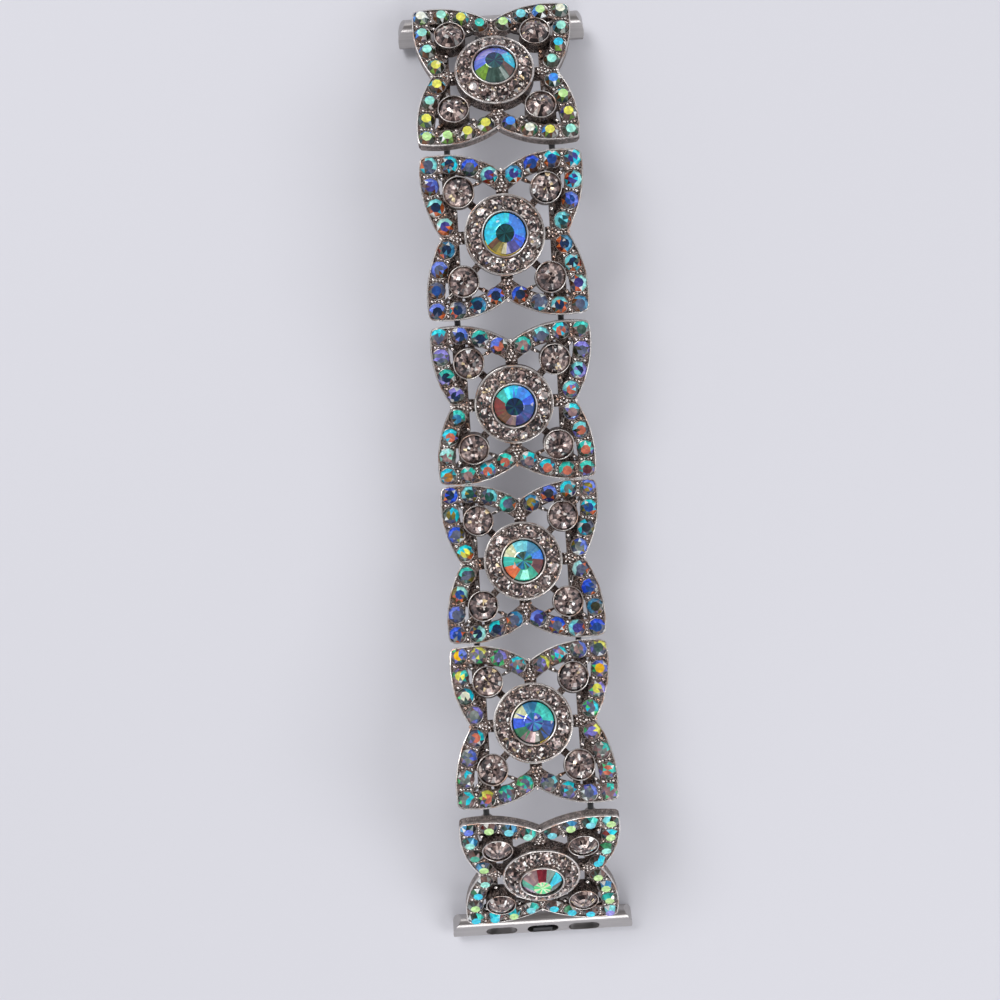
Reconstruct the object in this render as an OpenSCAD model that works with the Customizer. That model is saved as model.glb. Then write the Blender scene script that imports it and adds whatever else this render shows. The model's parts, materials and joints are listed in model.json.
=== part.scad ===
// Stretch watch band of six cast, stone-set links on two elastic cords.
// Millimetres, +Z up. The band lies face up along Y in a shallow wave and rests on the two end rails.

/* [Link outline] */
// Width of a link across the band
link_w = 22.6; // [22:0.05:22.9]
// Length of a link along the band
link_l = 22.68; // [22.2:0.02:23]
// Gap between two neighbouring links when the cords are slack
link_gap = 0.56; // [0.56:0.02:0.8]
// Radius of the four outer corners
corner_r = 1.35; // [1.3:0.05:1.5]
// Depth of the notch in the middle of an end edge
end_notch = 2.58; // [2.5:0.02:2.7]
// Radius of the arc along a wing's end edge
end_arc_r = 13.7; // [13.4:0.1:14.2]
// Depth of the notch in the middle of a side edge
side_notch = 2.52; // [2.4:0.02:2.6]
// Radius of the arc along a wing's side edge
side_arc_r = 15.6; // [15.2:0.1:16]
// Width of the stone-set border that runs along the outline
border_w = 2.5; // [2.48:0.01:2.55]

/* [Link casting heights] */
// Thickness of the openwork back plate
plate_t = 0.45; // [0.45:0.05:0.5]
// Height of the border's top above the back
border_z = 1.15; // [1.15:0.05:1.25]
// Height of the thin lip on the outline above the border
lip_h = 0.1; // [0.06:0.02:0.12]
// Width of the thin lip
lip_w = 0.14; // [0.1:0.01:0.2]
// Height of the small webs that tie the corner cups in
web_z = 0.85; // [0.6:0.05:1.1]
// Width of the small webs
web_w = 1; // [0.7:0.05:1.3]
// Width of the four bridges between the border and the middle ring
bridge_w = 1.7; // [1.2:0.1:2.2]

/* [Stones] */
// Diameter of the coated stones along the outline
rim_stone_d = 2.1; // [1.9:0.05:2.15]
// Distance between the two stones beside an end notch
end_pair = 3.4; // [3.2:0.05:3.6]
// Distance between the two stones beside a side notch
side_pair = 3.2; // [3:0.05:3.4]
// Diameter of the four clear corner stones
corner_stone_d = 4; // [3.6:0.05:4.1]
// Distance of a corner stone inward of the coated stone in the corner, both across and along
cup_inset = 3.9; // [3.86:0.01:3.94]
// Diameter of the clear halo stones
halo_stone_d = 2; // [1.8:0.02:2.04]
// Radius of the circle of halo stones
halo_r = 4.2; // [4.19:0.01:4.25]
// Outward tilt of the halo stones
halo_tilt = 24; // [22:1:26]
// Diameter of the centre stone
centre_stone_d = 6; // [5.6:0.05:6.1]
// Clearance between a stone and its setting
seat_gap = 0.03; // [0.02:0.01:0.04]

/* [Settings] */
// Outer radius of the middle ring
ring_r = 5.55; // [5.5:0.01:5.7]
// Height of the ring's sloping face at the circle of halo stones
halo_z = 2.45; // [2.4:0.05:2.55]
// Height of the ring's outer lip above its sloping face
ring_lip_h = 0.2; // [0.1:0.05:0.3]
// Wall of the centre stone's bezel
bezel_wall = 0.2; // [0.16:0.02:0.2]
// Height of the bezel's top above the back
bezel_z = 3.2; // [3.1:0.05:3.4]
// Wall of a corner cup
cup_wall = 0.18; // [0.15:0.01:0.2]
// Height of a corner cup's top above the back
cup_z = 2.1; // [1.95:0.05:2.2]

/* [Cords and tunnels] */
// Diameter of each elastic cord
cord_d = 0.85; // [0.7:0.05:0.85]
// Running clearance around a cord
cord_gap = 0.07; // [0.05:0.01:0.1]
// Distance of each cord inward of the bottom of a side notch
cord_inset = 1.48; // [1.4:0.02:1.6]
// Depth of the cords' centre below the link's back
cord_depth = 0.52; // [0.52:0.02:0.6]
// Wall of the tunnels that carry the cords
tunnel_wall = 0.43; // [0.35:0.01:0.43]
// Distance from a tunnel's mouth to the middle of the gap beside it
mouth_inset = 1.5; // [1.4:0.05:2]
// Length of cord on each side of a gap's middle that bends
bend_reach = 0.65; // [0.6:0.01:0.68]
// Distance from a link's middle to where its own length of cord ends
cord_split = 2; // [1:0.1:4]

/* [End rails] */
// Width of a rail at its widest, the length of the slot it slides into
rail_w = 27.2; // [26.6:0.1:28]
// Thickness of a rail
rail_t = 2.2; // [2:0.05:2.4]
// Depth of a rail from its band side to its nose
rail_l = 4.2; // [4.2:0.05:5]
// Distance from a rail's band side to the middle of its gap
rail_gap = 0.7; // [0.7:0.01:0.8]
// Radius of a rail's rounded ends, seen from above
rail_end_r = 4.2; // [4.1:0.05:4.4]
// Distance from the nose to the widest point of those ends
rail_belly = 1.2; // [1:0.05:1.4]
// Rounding of the nose's long edges
nose_r = 0.6; // [0.4:0.05:0.8]
// Length of each of the three slots
slot_l = 4.7; // [4.5:0.05:4.8]
// Width of each slot
slot_w = 2.2; // [2.15:0.01:2.25]
// Distance of each cord outward of the middle of its side slot
cord_offset = 1.05; // [0.95:0.05:1.15]
// Lip of metal between a slot and the nose
slot_lip = 0.4; // [0.4:0.05:0.5]
// Diameter of the knot that holds a cord in a side slot
knot_d = 1.5; // [1.3:0.05:1.6]

/* [Catch] */
// Width of the catch's block
catch_w = 2.9; // [2.6:0.1:3]
// Thickness of the catch's block along its travel
catch_l = 1; // [0.95:0.05:1.1]
// Height of the catch's block
catch_h = 1.9; // [1.6:0.1:2]
// Diameter of the catch's nub
nub_d = 1.1; // [0.9:0.05:1.2]
// Distance that the nub stands out of the nose, which is also its travel
nub_out = 0.45; // [0.35:0.05:0.45]
// Sliding clearance around the catch
catch_gap = 0.05; // [0.04:0.01:0.07]
// Thickness of the catch's leaf spring
leaf_t = 0.12; // [0.1:0.01:0.14]

/* [Rest pose] */
// Curl between the top rail and link 1, in degrees
angle_top = 105; // [60:1:108]
// Curl between links 1 and 2
angle_1_2 = 24; // [5:1:45]
// Curl between links 2 and 3
angle_2_3 = 7; // [4:1:30]
// Curl between links 3 and 4, negative where the band sags
angle_3_4 = -17; // [-17:1:-4]
// Curl between links 4 and 5, negative where the band sags
angle_4_5 = -9; // [-17:1:-4]
// Curl between links 5 and 6
angle_5_6 = 49; // [15:1:51]
// Curl between link 6 and the bottom rail
angle_bottom = 10; // [4:1:60]

/* [Hidden] */
$fn = 48;
LINKS = 6;
ROOT = 3;

silver = [0.80, 0.79, 0.78];
satin = [0.72, 0.70, 0.70];
coated = [0.35, 0.75, 0.85];
smoky = [0.55, 0.48, 0.50];
black = [0.06, 0.06, 0.07];

// Settings and stones
rim_seat_r = rim_stone_d / 2 + seat_gap;
bezel_in = centre_stone_d / 2 + seat_gap;
bezel_out = bezel_in + bezel_wall;
cup_in = corner_stone_d / 2 + seat_gap;
cup_r = cup_in + cup_wall;
// Distance from the outline to the middle of the stones that follow it
stone_inset = corner_r;
link_pitch = link_l + link_gap;
corner_at = [link_w / 2 - corner_r, link_l / 2 - corner_r];
cup_at = corner_at - [cup_inset, cup_inset];
// An arc of radius r that touches the link's box falls off by the notch's depth within this distance
function fall(r, notch) = sqrt(2 * r * notch - notch * notch);
end_centre = [fall(end_arc_r, end_notch), link_l / 2 - end_arc_r];
side_centre = [link_w / 2 - side_arc_r, fall(side_arc_r, side_notch)];
edge_stones = 3;
halo_count = 12;
halo_seat_reach = 0.7;
halo_pavilion = 0.6;
halo_crown = 0.4;
rim_pavilion = 0.6;
rim_crown = 0.65;
floor_gap = 0.04;
// A stone's tip never touches the floor of its seat, and a wall stands above its girdle to hold it
rim_girdle_z = plate_t + rim_pavilion + floor_gap;
cup_hold = 0.2;
corner_girdle_z = cup_z - cup_hold;
corner_pavilion = 1.45;
corner_crown = 0.75;
bezel_hold = 0.25;
centre_girdle_z = bezel_z - bezel_hold;
centre_pavilion = 2;
centre_crown = 1.25;
// The ring's face slopes outward from the bezel to its lip
ring_edge_z = halo_z - (ring_r - halo_r) * tan(halo_tilt);
ring_inner_z = halo_z + (halo_r - bezel_out) * tan(halo_tilt);
ring_lip_w = 0.25;
// How far a web runs into a cup or the ring, and how far it reaches from a cup into the border
web_bite = 0.3;
web_reach = 0.8;
plate_bite = 0.1;

// Cords and tunnels
cord_r = cord_d / 2;
bore_r = cord_r + cord_gap;
tunnel_r = bore_r + tunnel_wall;
cord_z = -cord_depth;
cord_x = link_w / 2 - side_notch - cord_inset;
tunnel_half = link_pitch / 2 - mouth_inset;
// Two lengths of cord meet end to end with this between them
cord_joint = 0.03;

// End rails
nose_y = rail_gap + rail_l;
slot_y = nose_y - slot_lip - slot_w / 2;
slot_pitch = cord_x - cord_offset;
rail_end_x = rail_w / 2 - rail_end_r;
catch_front = slot_y + slot_w / 2 - catch_gap;
leaf_span = 0.9 * catch_w;
leaf_h = catch_front - catch_l - (slot_y - slot_w / 2) - 2 * catch_gap;
leaf_r = (leaf_span * leaf_span / 4 + leaf_h * leaf_h) / (2 * leaf_h);

// Rest pose, in the plane of Y and Z. Piece 0 is the top rail, 1 to 6 the links, 7 the bottom rail.
CURLS = [angle_top, angle_1_2, angle_2_3, angle_3_4, angle_4_5, angle_5_6, angle_bottom];
function turned(t, p) = [p[0] * cos(t) + p[1] * sin(t), -p[0] * sin(t) + p[1] * cos(t)];
function tilt(i) = i == ROOT ? 0 : i < ROOT ? tilt(i + 1) + CURLS[i] : tilt(i - 1) - CURLS[i - 1];
function gap_at(i) = let (k = i < ROOT ? i + 1 : i, side = i < ROOT ? 1 : -1)
    origin(k) + turned(tilt(k), [side * link_pitch / 2, cord_z]);
function origin(i) = i == ROOT ? [0, 0]
    : i == 0 ? gap_at(0)
    : i == LINKS + 1 ? gap_at(LINKS)
    : let (side = i < ROOT ? -1 : 1)
        gap_at(i < ROOT ? i : i - 1) - turned(tilt(i), [side * link_pitch / 2, cord_z]);
// A rail touches the floor with whichever long edge of its nose points down
function nose_at(i, up) = let (side = i == 0 ? 1 : -1)
    origin(i) + turned(tilt(i), [side * (nose_y - nose_r), up * (rail_t / 2 - nose_r)]);
function slope(a, b) = atan2(a[1] - b[1], a[0] - b[0]);
rough_lay = slope(nose_at(0, 0), nose_at(LINKS + 1, 0));
top_nose = nose_at(0, cos(tilt(0) + rough_lay) < 0 ? 1 : -1);
bottom_nose = nose_at(LINKS + 1, -1);
lay = slope(top_nose, bottom_nose);
function laid(p) = turned(lay, p - bottom_nose);
// The origin is under the middle of the band's length
far_y = max([for (z = [0, border_z + lip_h]) laid(origin(1) + turned(tilt(1), [link_l / 2, z]))[0]]);
near_y = min([for (u = [-1, 1]) laid(nose_at(LINKS + 1, u))[0]]) - nose_r;
function world(p) = laid(p) + [-(far_y + near_y) / 2, nose_r];
function cord_name(i) = i == 0 ? "top_end" : i == LINKS ? "bottom_end" : str(i, "_", i + 1);

// Places what is drawn in a link's own frame, with its back plate at height 0
module on_link(i) {
    at = world(origin(i));
    translate([0, at[0], at[1]]) rotate([-(tilt(i) + lay), 0, 0]) children();
}

// Places what is drawn from the middle of gap i outward, in the frame of the piece nearer link 3
module at_gap(i) {
    at = world(gap_at(i));
    inner = i < ROOT ? i + 1 : i;
    translate([0, at[0], at[1]]) rotate([-(tilt(inner) + lay), 0, 0])
        rotate([0, 0, i < ROOT ? 0 : 180]) children();
}

module on_rail(i) {
    gap = i == 0 ? 0 : LINKS;
    at_gap(gap) rotate([-CURLS[gap], 0, 0]) children();
}

module four_ways() {
    for (a = [0, 1], b = [0, 1]) mirror([a, 0, 0]) mirror([0, b, 0]) children();
}

module on_both_cords() {
    for (s = [-1, 1]) translate([s * cord_x, 0, 0]) children();
}

// Link castings

// The four wings, each where the disc of its end edge meets the disc of its side edge
module wings(inset) {
    four_ways() intersection() {
        translate(end_centre) circle(end_arc_r - inset);
        translate(side_centre) circle(side_arc_r - inset);
    }
}

module rounded_box(w, l, r) {
    square([w - 2 * r, l], center = true);
    square([w, l - 2 * r], center = true);
    for (x = [-1, 1], y = [-1, 1]) translate([x * (w / 2 - r), y * (l / 2 - r)]) circle(r);
}

module outline(inset) {
    intersection() {
        wings(inset);
        rounded_box(link_w - 2 * inset, link_l - 2 * inset, corner_r - inset);
    }
}

module border() {
    difference() {
        outline(0);
        wings(border_w);
    }
}

// Calls its children at each stone of one wing: the corner first, then along both edges
module at_wing_stones() {
    end_r = end_arc_r - stone_inset;
    side_r = side_arc_r - stone_inset;
    end_from = atan2(corner_at[0] - end_centre[0], corner_at[1] - end_centre[1]);
    end_to = asin((end_pair / 2 - end_centre[0]) / end_r);
    side_from = atan2(corner_at[1] - side_centre[1], corner_at[0] - side_centre[0]);
    side_to = asin((side_pair / 2 - side_centre[1]) / side_r);
    translate(corner_at) children();
    for (k = [1 : edge_stones]) {
        a = end_from + k * (end_to - end_from) / edge_stones;
        translate(end_centre + end_r * [sin(a), cos(a)]) children();
        b = side_from + k * (side_to - side_from) / edge_stones;
        translate(side_centre + side_r * [cos(b), sin(b)]) children();
    }
}

module at_halo_stones() {
    for (k = [0 : halo_count - 1])
        rotate([0, 0, (k + 0.5) * 360 / halo_count])
            translate([halo_r, 0, halo_z]) rotate([0, halo_tilt, 0]) children();
}

// A bar between two points, wide enough to tie the pieces at its ends
module tie(from, to, w) {
    span = to - from;
    translate(from) rotate(atan2(span[1], span[0]))
        translate([0, -w / 2]) square([norm(span), w]);
}

module webs() {
    end_way = (cup_at - end_centre) / norm(cup_at - end_centre);
    side_way = (cup_at - side_centre) / norm(cup_at - side_centre);
    ring_way = cup_at / norm(cup_at);
    in_cup = cup_r - web_bite;
    in_ring = ring_r - web_bite;
    in_border = cup_r + web_reach;
    four_ways() {
        tie(cup_at + end_way * in_cup, cup_at + end_way * in_border, web_w);
        tie(cup_at + side_way * in_cup, cup_at + side_way * in_border, web_w);
        tie(ring_way * in_ring, cup_at - ring_way * in_cup, web_w);
    }
    for (a = [0 : 90 : 270]) rotate(a) translate([in_ring, -bridge_w / 2]) square([border_w / 2, bridge_w]);
}

module openwork() {
    difference() {
        outline(0);
        difference() {
            wings(border_w);
            circle(ring_r - plate_bite);
            four_ways() translate(cup_at) circle(cup_r - plate_bite);
            webs();
        }
    }
}

module stone_border() {
    translate([0, 0, plate_t]) linear_extrude(border_z - plate_t) difference() {
        border();
        four_ways() at_wing_stones() circle(rim_seat_r);
    }
    translate([0, 0, border_z]) linear_extrude(lip_h) difference() {
        outline(0);
        outline(lip_w);
    }
}

// A conical seat below the girdle of a halo stone, and the way in above it
module halo_seat() {
    seat_r = halo_stone_d / 2 + seat_gap;
    tip = -halo_pavilion - 2 * seat_gap;
    rotate_extrude() polygon([[0, tip], [seat_gap, tip], [seat_r, -seat_gap],
        [seat_r, halo_seat_reach], [0, halo_seat_reach]]);
}

// Ring, sloping halo face, lip and centre bezel, turned as one profile
module ring() {
    difference() {
        rotate_extrude() polygon([[0, 0], [ring_r, 0], [ring_r, ring_edge_z + ring_lip_h],
            [ring_r - ring_lip_w, ring_edge_z + ring_lip_h],
            [ring_r - ring_lip_w, ring_edge_z + ring_lip_w * tan(halo_tilt)],
            [bezel_out, ring_inner_z], [bezel_out, bezel_z], [bezel_in, bezel_z],
            [bezel_in, centre_girdle_z - seat_gap],
            [seat_gap, centre_girdle_z - centre_pavilion - 2 * seat_gap],
            [0, centre_girdle_z - centre_pavilion - 2 * seat_gap]]);
        at_halo_stones() halo_seat();
    }
}

module corner_cup() {
    rotate_extrude() polygon([[0, 0], [cup_r, 0], [cup_r, cup_z], [cup_in, cup_z],
        [cup_in, corner_girdle_z - seat_gap],
        [seat_gap, corner_girdle_z - corner_pavilion - 2 * seat_gap],
        [0, corner_girdle_z - corner_pavilion - 2 * seat_gap]]);
}

module tunnels() {
    on_both_cords() rotate([90, 0, 0]) linear_extrude(2 * tunnel_half, center = true) difference() {
        union() {
            translate([0, cord_z]) circle(tunnel_r);
            translate([-tunnel_r, cord_z]) square([2 * tunnel_r, tunnel_r]);
        }
        translate([0, cord_z]) circle(bore_r);
    }
}

module casting() color(silver) {
    linear_extrude(plate_t) openwork();
    linear_extrude(web_z) webs();
    stone_border();
    ring();
    four_ways() translate(cup_at) corner_cup();
    tunnels();
}

// Stones

// A round brilliant with its girdle at height 0: table, one ring of crown facets and a pointed back
module brilliant(d, table_d, crown, pavilion, sides) {
    ring = function (r, z, shift) [for (k = [0 : sides - 1])
        let (a = (k + shift) * 360 / sides) [r * cos(a), r * sin(a), z]];
    points = concat(ring(d / 2, 0, 0), ring(table_d / 2, crown, 0.5), [[0, 0, -pavilion]]);
    next = function (k) (k + 1) % sides;
    faces = concat([[for (k = [sides - 1 : -1 : 0]) sides + k]],
        [for (k = [0 : sides - 1]) [k, sides + k, next(k)]],
        [for (k = [0 : sides - 1]) [next(k), sides + k, sides + next(k)]],
        [for (k = [0 : sides - 1]) [k, next(k), 2 * sides]]);
    polyhedron(points, faces);
}

module rim_stones() color(coated)
    four_ways() at_wing_stones() translate([0, 0, rim_girdle_z])
        brilliant(rim_stone_d, rim_stone_d * 0.64, rim_crown, rim_pavilion, 8);

module corner_stones() color(smoky)
    four_ways() translate([cup_at[0], cup_at[1], corner_girdle_z])
        brilliant(corner_stone_d, corner_stone_d * 0.55, corner_crown, corner_pavilion, 12);

module halo_stones() color(smoky)
    at_halo_stones() brilliant(halo_stone_d, halo_stone_d * 0.5, halo_crown, halo_pavilion, 8);

module centre_stone() color(coated)
    translate([0, 0, centre_girdle_z])
        brilliant(centre_stone_d, centre_stone_d * 0.4, centre_crown, centre_pavilion, 12);

// Elastic cords

module cord_run(from, to) {
    on_both_cords() translate([0, from, 0]) rotate([-90, 0, 0]) cylinder(h = to - from, r = cord_r);
}

// The length of cord that stays in a link's tunnel
module link_cords(i) color(black) {
    mouth = link_pitch / 2 - bend_reach - cord_joint;
    translate([0, 0, cord_z])
        cord_run(i < ROOT ? -mouth : -cord_split, i > ROOT ? mouth : cord_split);
}

// The cord across gap i: its tail runs back into the inner link's tunnel, and its end bends by the curl
module gap_cords(i) color(black) {
    curl = CURLS[i];
    bend_r = bend_reach / tan(abs(curl) / 2);
    cord_run(-(link_pitch / 2 - cord_split - cord_joint), -bend_reach);
    mirror([0, 0, curl < 0 ? 1 : 0])
        on_both_cords() translate([0, -bend_reach, -bend_r]) rotate([0, -90, 0])
            rotate_extrude(angle = abs(curl)) translate([bend_r, 0]) circle(cord_r);
}

// End rails, drawn from the middle of the gap with the nose toward +Y and the cords' centre at height 0

module rail_plan() {
    intersection() {
        translate([-rail_w / 2, rail_gap]) square([rail_w, rail_l]);
        union() {
            translate([-rail_end_x, rail_gap]) square([2 * rail_end_x, rail_l]);
            for (s = [-1, 1]) translate([s * rail_end_x, nose_y - rail_belly]) circle(rail_end_r);
        }
    }
}

module rail_profile() {
    translate([rail_gap + rail_t / 2, 0]) circle(rail_t / 2);
    translate([rail_gap + rail_t / 2, -rail_t / 2]) square([rail_l - rail_t / 2 - nose_r, rail_t]);
    translate([nose_y - 2 * nose_r, -rail_t / 2 + nose_r]) square([2 * nose_r, rail_t - 2 * nose_r]);
    for (s = [-1, 1]) translate([nose_y - nose_r, s * (rail_t / 2 - nose_r)]) circle(nose_r);
}

module slot() {
    for (s = [-1, 1]) translate([s * (slot_l - slot_w) / 2, 0]) circle(slot_w / 2);
    square([slot_l - slot_w, slot_w], center = true);
}

module rail() color(satin) difference() {
    intersection() {
        translate([0, 0, -rail_t]) linear_extrude(2 * rail_t) rail_plan();
        rotate([90, 0, 90]) linear_extrude(2 * rail_w, center = true) rail_profile();
    }
    for (s = [-1 : 1]) translate([s * slot_pitch, slot_y, -rail_t]) linear_extrude(2 * rail_t) slot();
    on_both_cords() rotate([-90, 0, 0]) cylinder(h = slot_y, r = bore_r);
    translate([0, slot_y, 0]) rotate([-90, 0, 0]) cylinder(h = rail_l, r = nub_d / 2 + catch_gap);
}

module cord_knots() color(black) {
    cord_run(bend_reach + cord_joint, slot_y);
    on_both_cords() translate([0, slot_y, 0]) sphere(d = knot_d);
}

module catch() color(black) {
    translate([-catch_w / 2, catch_front - catch_l, -catch_h / 2]) cube([catch_w, catch_l, catch_h]);
    translate([0, catch_front - catch_l / 2, 0]) rotate([-90, 0, 0])
        cylinder(h = nose_y + nub_out - catch_front + catch_l / 2, r = nub_d / 2);
}

module catch_spring() color(satin)
    translate([0, catch_front - catch_l - catch_gap - leaf_r, 0])
        linear_extrude(0.8 * catch_h, center = true) intersection() {
            difference() {
                circle(leaf_r);
                circle(leaf_r - leaf_t);
            }
            translate([-leaf_span / 2, leaf_r - leaf_h]) square([leaf_span, 2 * leaf_h]);
        }

for (i = [1 : LINKS]) {
    on_link(i) casting();
    on_link(i) rim_stones();
    on_link(i) corner_stones();
    on_link(i) halo_stones();
    on_link(i) centre_stone();
    on_link(i) link_cords(i);
}
for (i = [0 : LINKS]) at_gap(i) gap_cords(i);
on_rail(0) rail();  // top_rail
on_rail(0) catch();  // top_catch
on_rail(0) catch_spring();  // top_catch_spring
on_rail(0) cord_knots();  // top_cord_knots
on_rail(LINKS + 1) rail();  // bottom_rail
on_rail(LINKS + 1) catch();  // bottom_catch
on_rail(LINKS + 1) catch_spring();  // bottom_catch_spring
on_rail(LINKS + 1) cord_knots();  // bottom_cord_knots
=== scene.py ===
"""Looks of a stretch watch band: six stone-set cast links, elastic cords and two end rails.

Sizes are in millimetres, in each piece's own terms, and a mesh goes over to metres when it is put
in place.
"""

import json
import logging
import math
import random
from contextlib import contextmanager
from dataclasses import dataclass
from enum import Enum
from typing import Callable, ClassVar, Iterator, Sequence

import bmesh
import bpy
from mathutils import Matrix, Vector


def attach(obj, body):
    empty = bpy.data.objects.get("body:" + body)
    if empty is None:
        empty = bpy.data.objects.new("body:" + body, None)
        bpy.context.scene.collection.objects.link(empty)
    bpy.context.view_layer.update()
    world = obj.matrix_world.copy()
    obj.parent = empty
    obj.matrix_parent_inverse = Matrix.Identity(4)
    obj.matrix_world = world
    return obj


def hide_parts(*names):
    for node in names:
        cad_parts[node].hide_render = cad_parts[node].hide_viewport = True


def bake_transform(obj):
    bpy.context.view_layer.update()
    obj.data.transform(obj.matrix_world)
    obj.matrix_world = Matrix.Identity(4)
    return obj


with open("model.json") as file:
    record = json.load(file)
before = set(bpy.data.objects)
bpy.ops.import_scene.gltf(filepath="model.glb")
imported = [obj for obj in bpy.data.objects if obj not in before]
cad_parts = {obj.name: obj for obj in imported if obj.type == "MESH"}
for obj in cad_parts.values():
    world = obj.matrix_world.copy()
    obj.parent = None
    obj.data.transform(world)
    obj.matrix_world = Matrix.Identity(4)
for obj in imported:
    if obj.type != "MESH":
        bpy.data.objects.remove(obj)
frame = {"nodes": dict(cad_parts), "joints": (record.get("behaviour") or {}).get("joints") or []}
log = logging.getLogger("band")

MM = 0.001
LINKS = 6
ROOT_LINK = 3
Colour = tuple[float, float, float]
Spot = tuple[float, float]
Span = tuple[float, float]
Bead = tuple[float, float, float, float]
Weights = tuple[float, float, float, float]
FacetColours = Callable[[Vector, Vector], Colour]


def linear(code: str) -> Colour:
    """Turns a six-digit colour code into linear red, green and blue."""
    parts = [int(code[i:i + 2], 16) / 255 for i in (0, 2, 4)]
    return tuple(c / 12.92 if c <= 0.04045 else ((c + 0.055) / 1.055) ** 2.4 for c in parts)


def shaded(colour: Colour, amount: float) -> Colour:
    """Makes a colour lighter or darker by a factor."""
    return tuple(min(1.0, c * amount) for c in colour)


def clamped(value: float) -> float:
    """Keeps a value between 0 and 1."""
    return min(1.0, max(0.0, value))


# Sizes that the pieces of a link share


@dataclass(frozen=True)
class LinkShape:
    """A link's driving dimensions: its butterfly outline, its border, cups, ring and bezel."""

    width: float = 22.6
    length: float = 22.68
    corner_r: float = 1.35
    end_notch: float = 2.58
    end_arc_r: float = 13.7
    side_notch: float = 2.52
    side_arc_r: float = 15.6
    border_z: float = 1.15
    lip_h: float = 0.1
    web_z: float = 0.85
    cup_inset: float = 3.9
    cup_r: float = 2.21
    cup_wall: float = 0.18
    cup_z: float = 2.1
    ring_r: float = 5.55
    ring_z: float = 2.05
    ring_lip: float = 0.25
    bezel_r: float = 3.23
    bezel_wall: float = 0.2
    bezel_z: float = 3.2
    halo_count: int = 12
    halo_r: float = 4.2
    halo_z: float = 2.45
    halo_tilt: float = 24.0
    cord_x: float = 7.3
    cord_z: float = -0.52

    @property
    def corner(self) -> Spot:
        """Gives the middle of the upper right corner's rounding, where a stone sits."""
        return self.width / 2 - self.corner_r, self.length / 2 - self.corner_r

    @property
    def cup(self) -> Spot:
        """Gives the middle of the upper right cup."""
        return self.corner[0] - self.cup_inset, self.corner[1] - self.cup_inset

    @property
    def end_centre(self) -> Spot:
        """Gives the centre of the arc along the upper right wing's end edge."""
        return (math.sqrt(2 * self.end_arc_r * self.end_notch - self.end_notch ** 2),
                self.length / 2 - self.end_arc_r)

    @property
    def side_centre(self) -> Spot:
        """Gives the centre of the arc along the upper right wing's side edge."""
        return (self.width / 2 - self.side_arc_r,
                math.sqrt(2 * self.side_arc_r * self.side_notch - self.side_notch ** 2))


SHAPE = LinkShape()


# Shader building


class Signal:
    """A shader socket that Python's operators work on, each adding its Math node."""

    def __init__(self, nodes: "Nodes", socket: bpy.types.NodeSocket) -> None:
        """Keeps the tree that the socket belongs to."""
        self.nodes = nodes
        self.socket = socket

    def _math(self, operation: str, *values: object) -> "Signal":
        """Adds one Math node and returns its result."""
        return self.nodes.signal("ShaderNodeMath", {"operation": operation},
                                 dict(enumerate(values)))

    def __add__(self, other: object) -> "Signal":
        """Adds."""
        return self._math("ADD", self, other)

    __radd__ = __add__

    def __sub__(self, other: object) -> "Signal":
        """Subtracts."""
        return self._math("SUBTRACT", self, other)

    def __rsub__(self, other: object) -> "Signal":
        """Subtracts this signal from a number."""
        return self._math("SUBTRACT", other, self)

    def __mul__(self, other: object) -> "Signal":
        """Multiplies."""
        return self._math("MULTIPLY", self, other)

    __rmul__ = __mul__

    def __pow__(self, other: float) -> "Signal":
        """Raises to a power."""
        return self._math("POWER", self, other)

    def __abs__(self) -> "Signal":
        """Drops the sign."""
        return self._math("ABSOLUTE", self)

    def most(self, other: object) -> "Signal":
        """Takes the larger of two values."""
        return self._math("MAXIMUM", self, other)

    def least(self, other: object) -> "Signal":
        """Takes the smaller of two values."""
        return self._math("MINIMUM", self, other)

    def sine(self) -> "Signal":
        """Takes the sine."""
        return self._math("SINE", self)

    def rise(self, start: float, end: float) -> "Signal":
        """Goes smoothly from 0 at start to 1 at end."""
        return self.nodes.signal("ShaderNodeMapRange", {"interpolation_type": "SMOOTHSTEP"},
                                 {0: self, 1: start, 2: end, 3: 0.0, 4: 1.0})


class Nodes:
    """The node tree of a material or a world in the making."""

    def __init__(self, owner: bpy.types.Material | bpy.types.World) -> None:
        """Starts from an empty tree.

        Args:
            owner: The material or world.
        """
        owner.use_nodes = True
        self.tree = owner.node_tree
        self.tree.nodes.clear()

    def node(self, kind: str, settings: dict | None = None,
             sockets: dict | None = None) -> bpy.types.Node:
        """Adds one node.

        Args:
            kind: The node's type.
            settings: Properties that are set first. "stops" holds a ramp's two places and colours.
            sockets: Inputs by index or name, each a number, a colour, a socket or a Signal.

        Returns:
            The new node.
        """
        made = self.tree.nodes.new(kind)
        for name, value in (settings or {}).items():
            if name == "stops":
                for element, (place, colour) in zip(made.color_ramp.elements, value):
                    element.position = place
                    element.color = (*colour, 1.0)
            else:
                setattr(made, name, value)
        for key, value in (sockets or {}).items():
            self.feed(made.inputs[key], value)
        return made

    def feed(self, target: bpy.types.NodeSocket, value: object) -> None:
        """Links or sets one input.

        Args:
            target: The input.
            value: A number, a colour, a socket or a Signal.
        """
        if isinstance(value, Signal):
            value = value.socket
        if isinstance(value, bpy.types.NodeSocket):
            self.tree.links.new(value, target)
        elif isinstance(value, tuple) and len(value) == 3 and target.type == "RGBA":
            target.default_value = (*value, 1.0)
        else:
            target.default_value = value

    def signal(self, kind: str, settings: dict | None = None, sockets: dict | None = None,
               output: int | str = 0) -> Signal:
        """Adds a node and gives one of its outputs as a Signal."""
        return Signal(self, self.node(kind, settings, sockets).outputs[output])

    def split(self, vector: bpy.types.NodeSocket) -> list[Signal]:
        """Splits a vector into its three parts."""
        return [Signal(self, part) for part in
                self.node("ShaderNodeSeparateXYZ", {}, {0: vector}).outputs]


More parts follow.
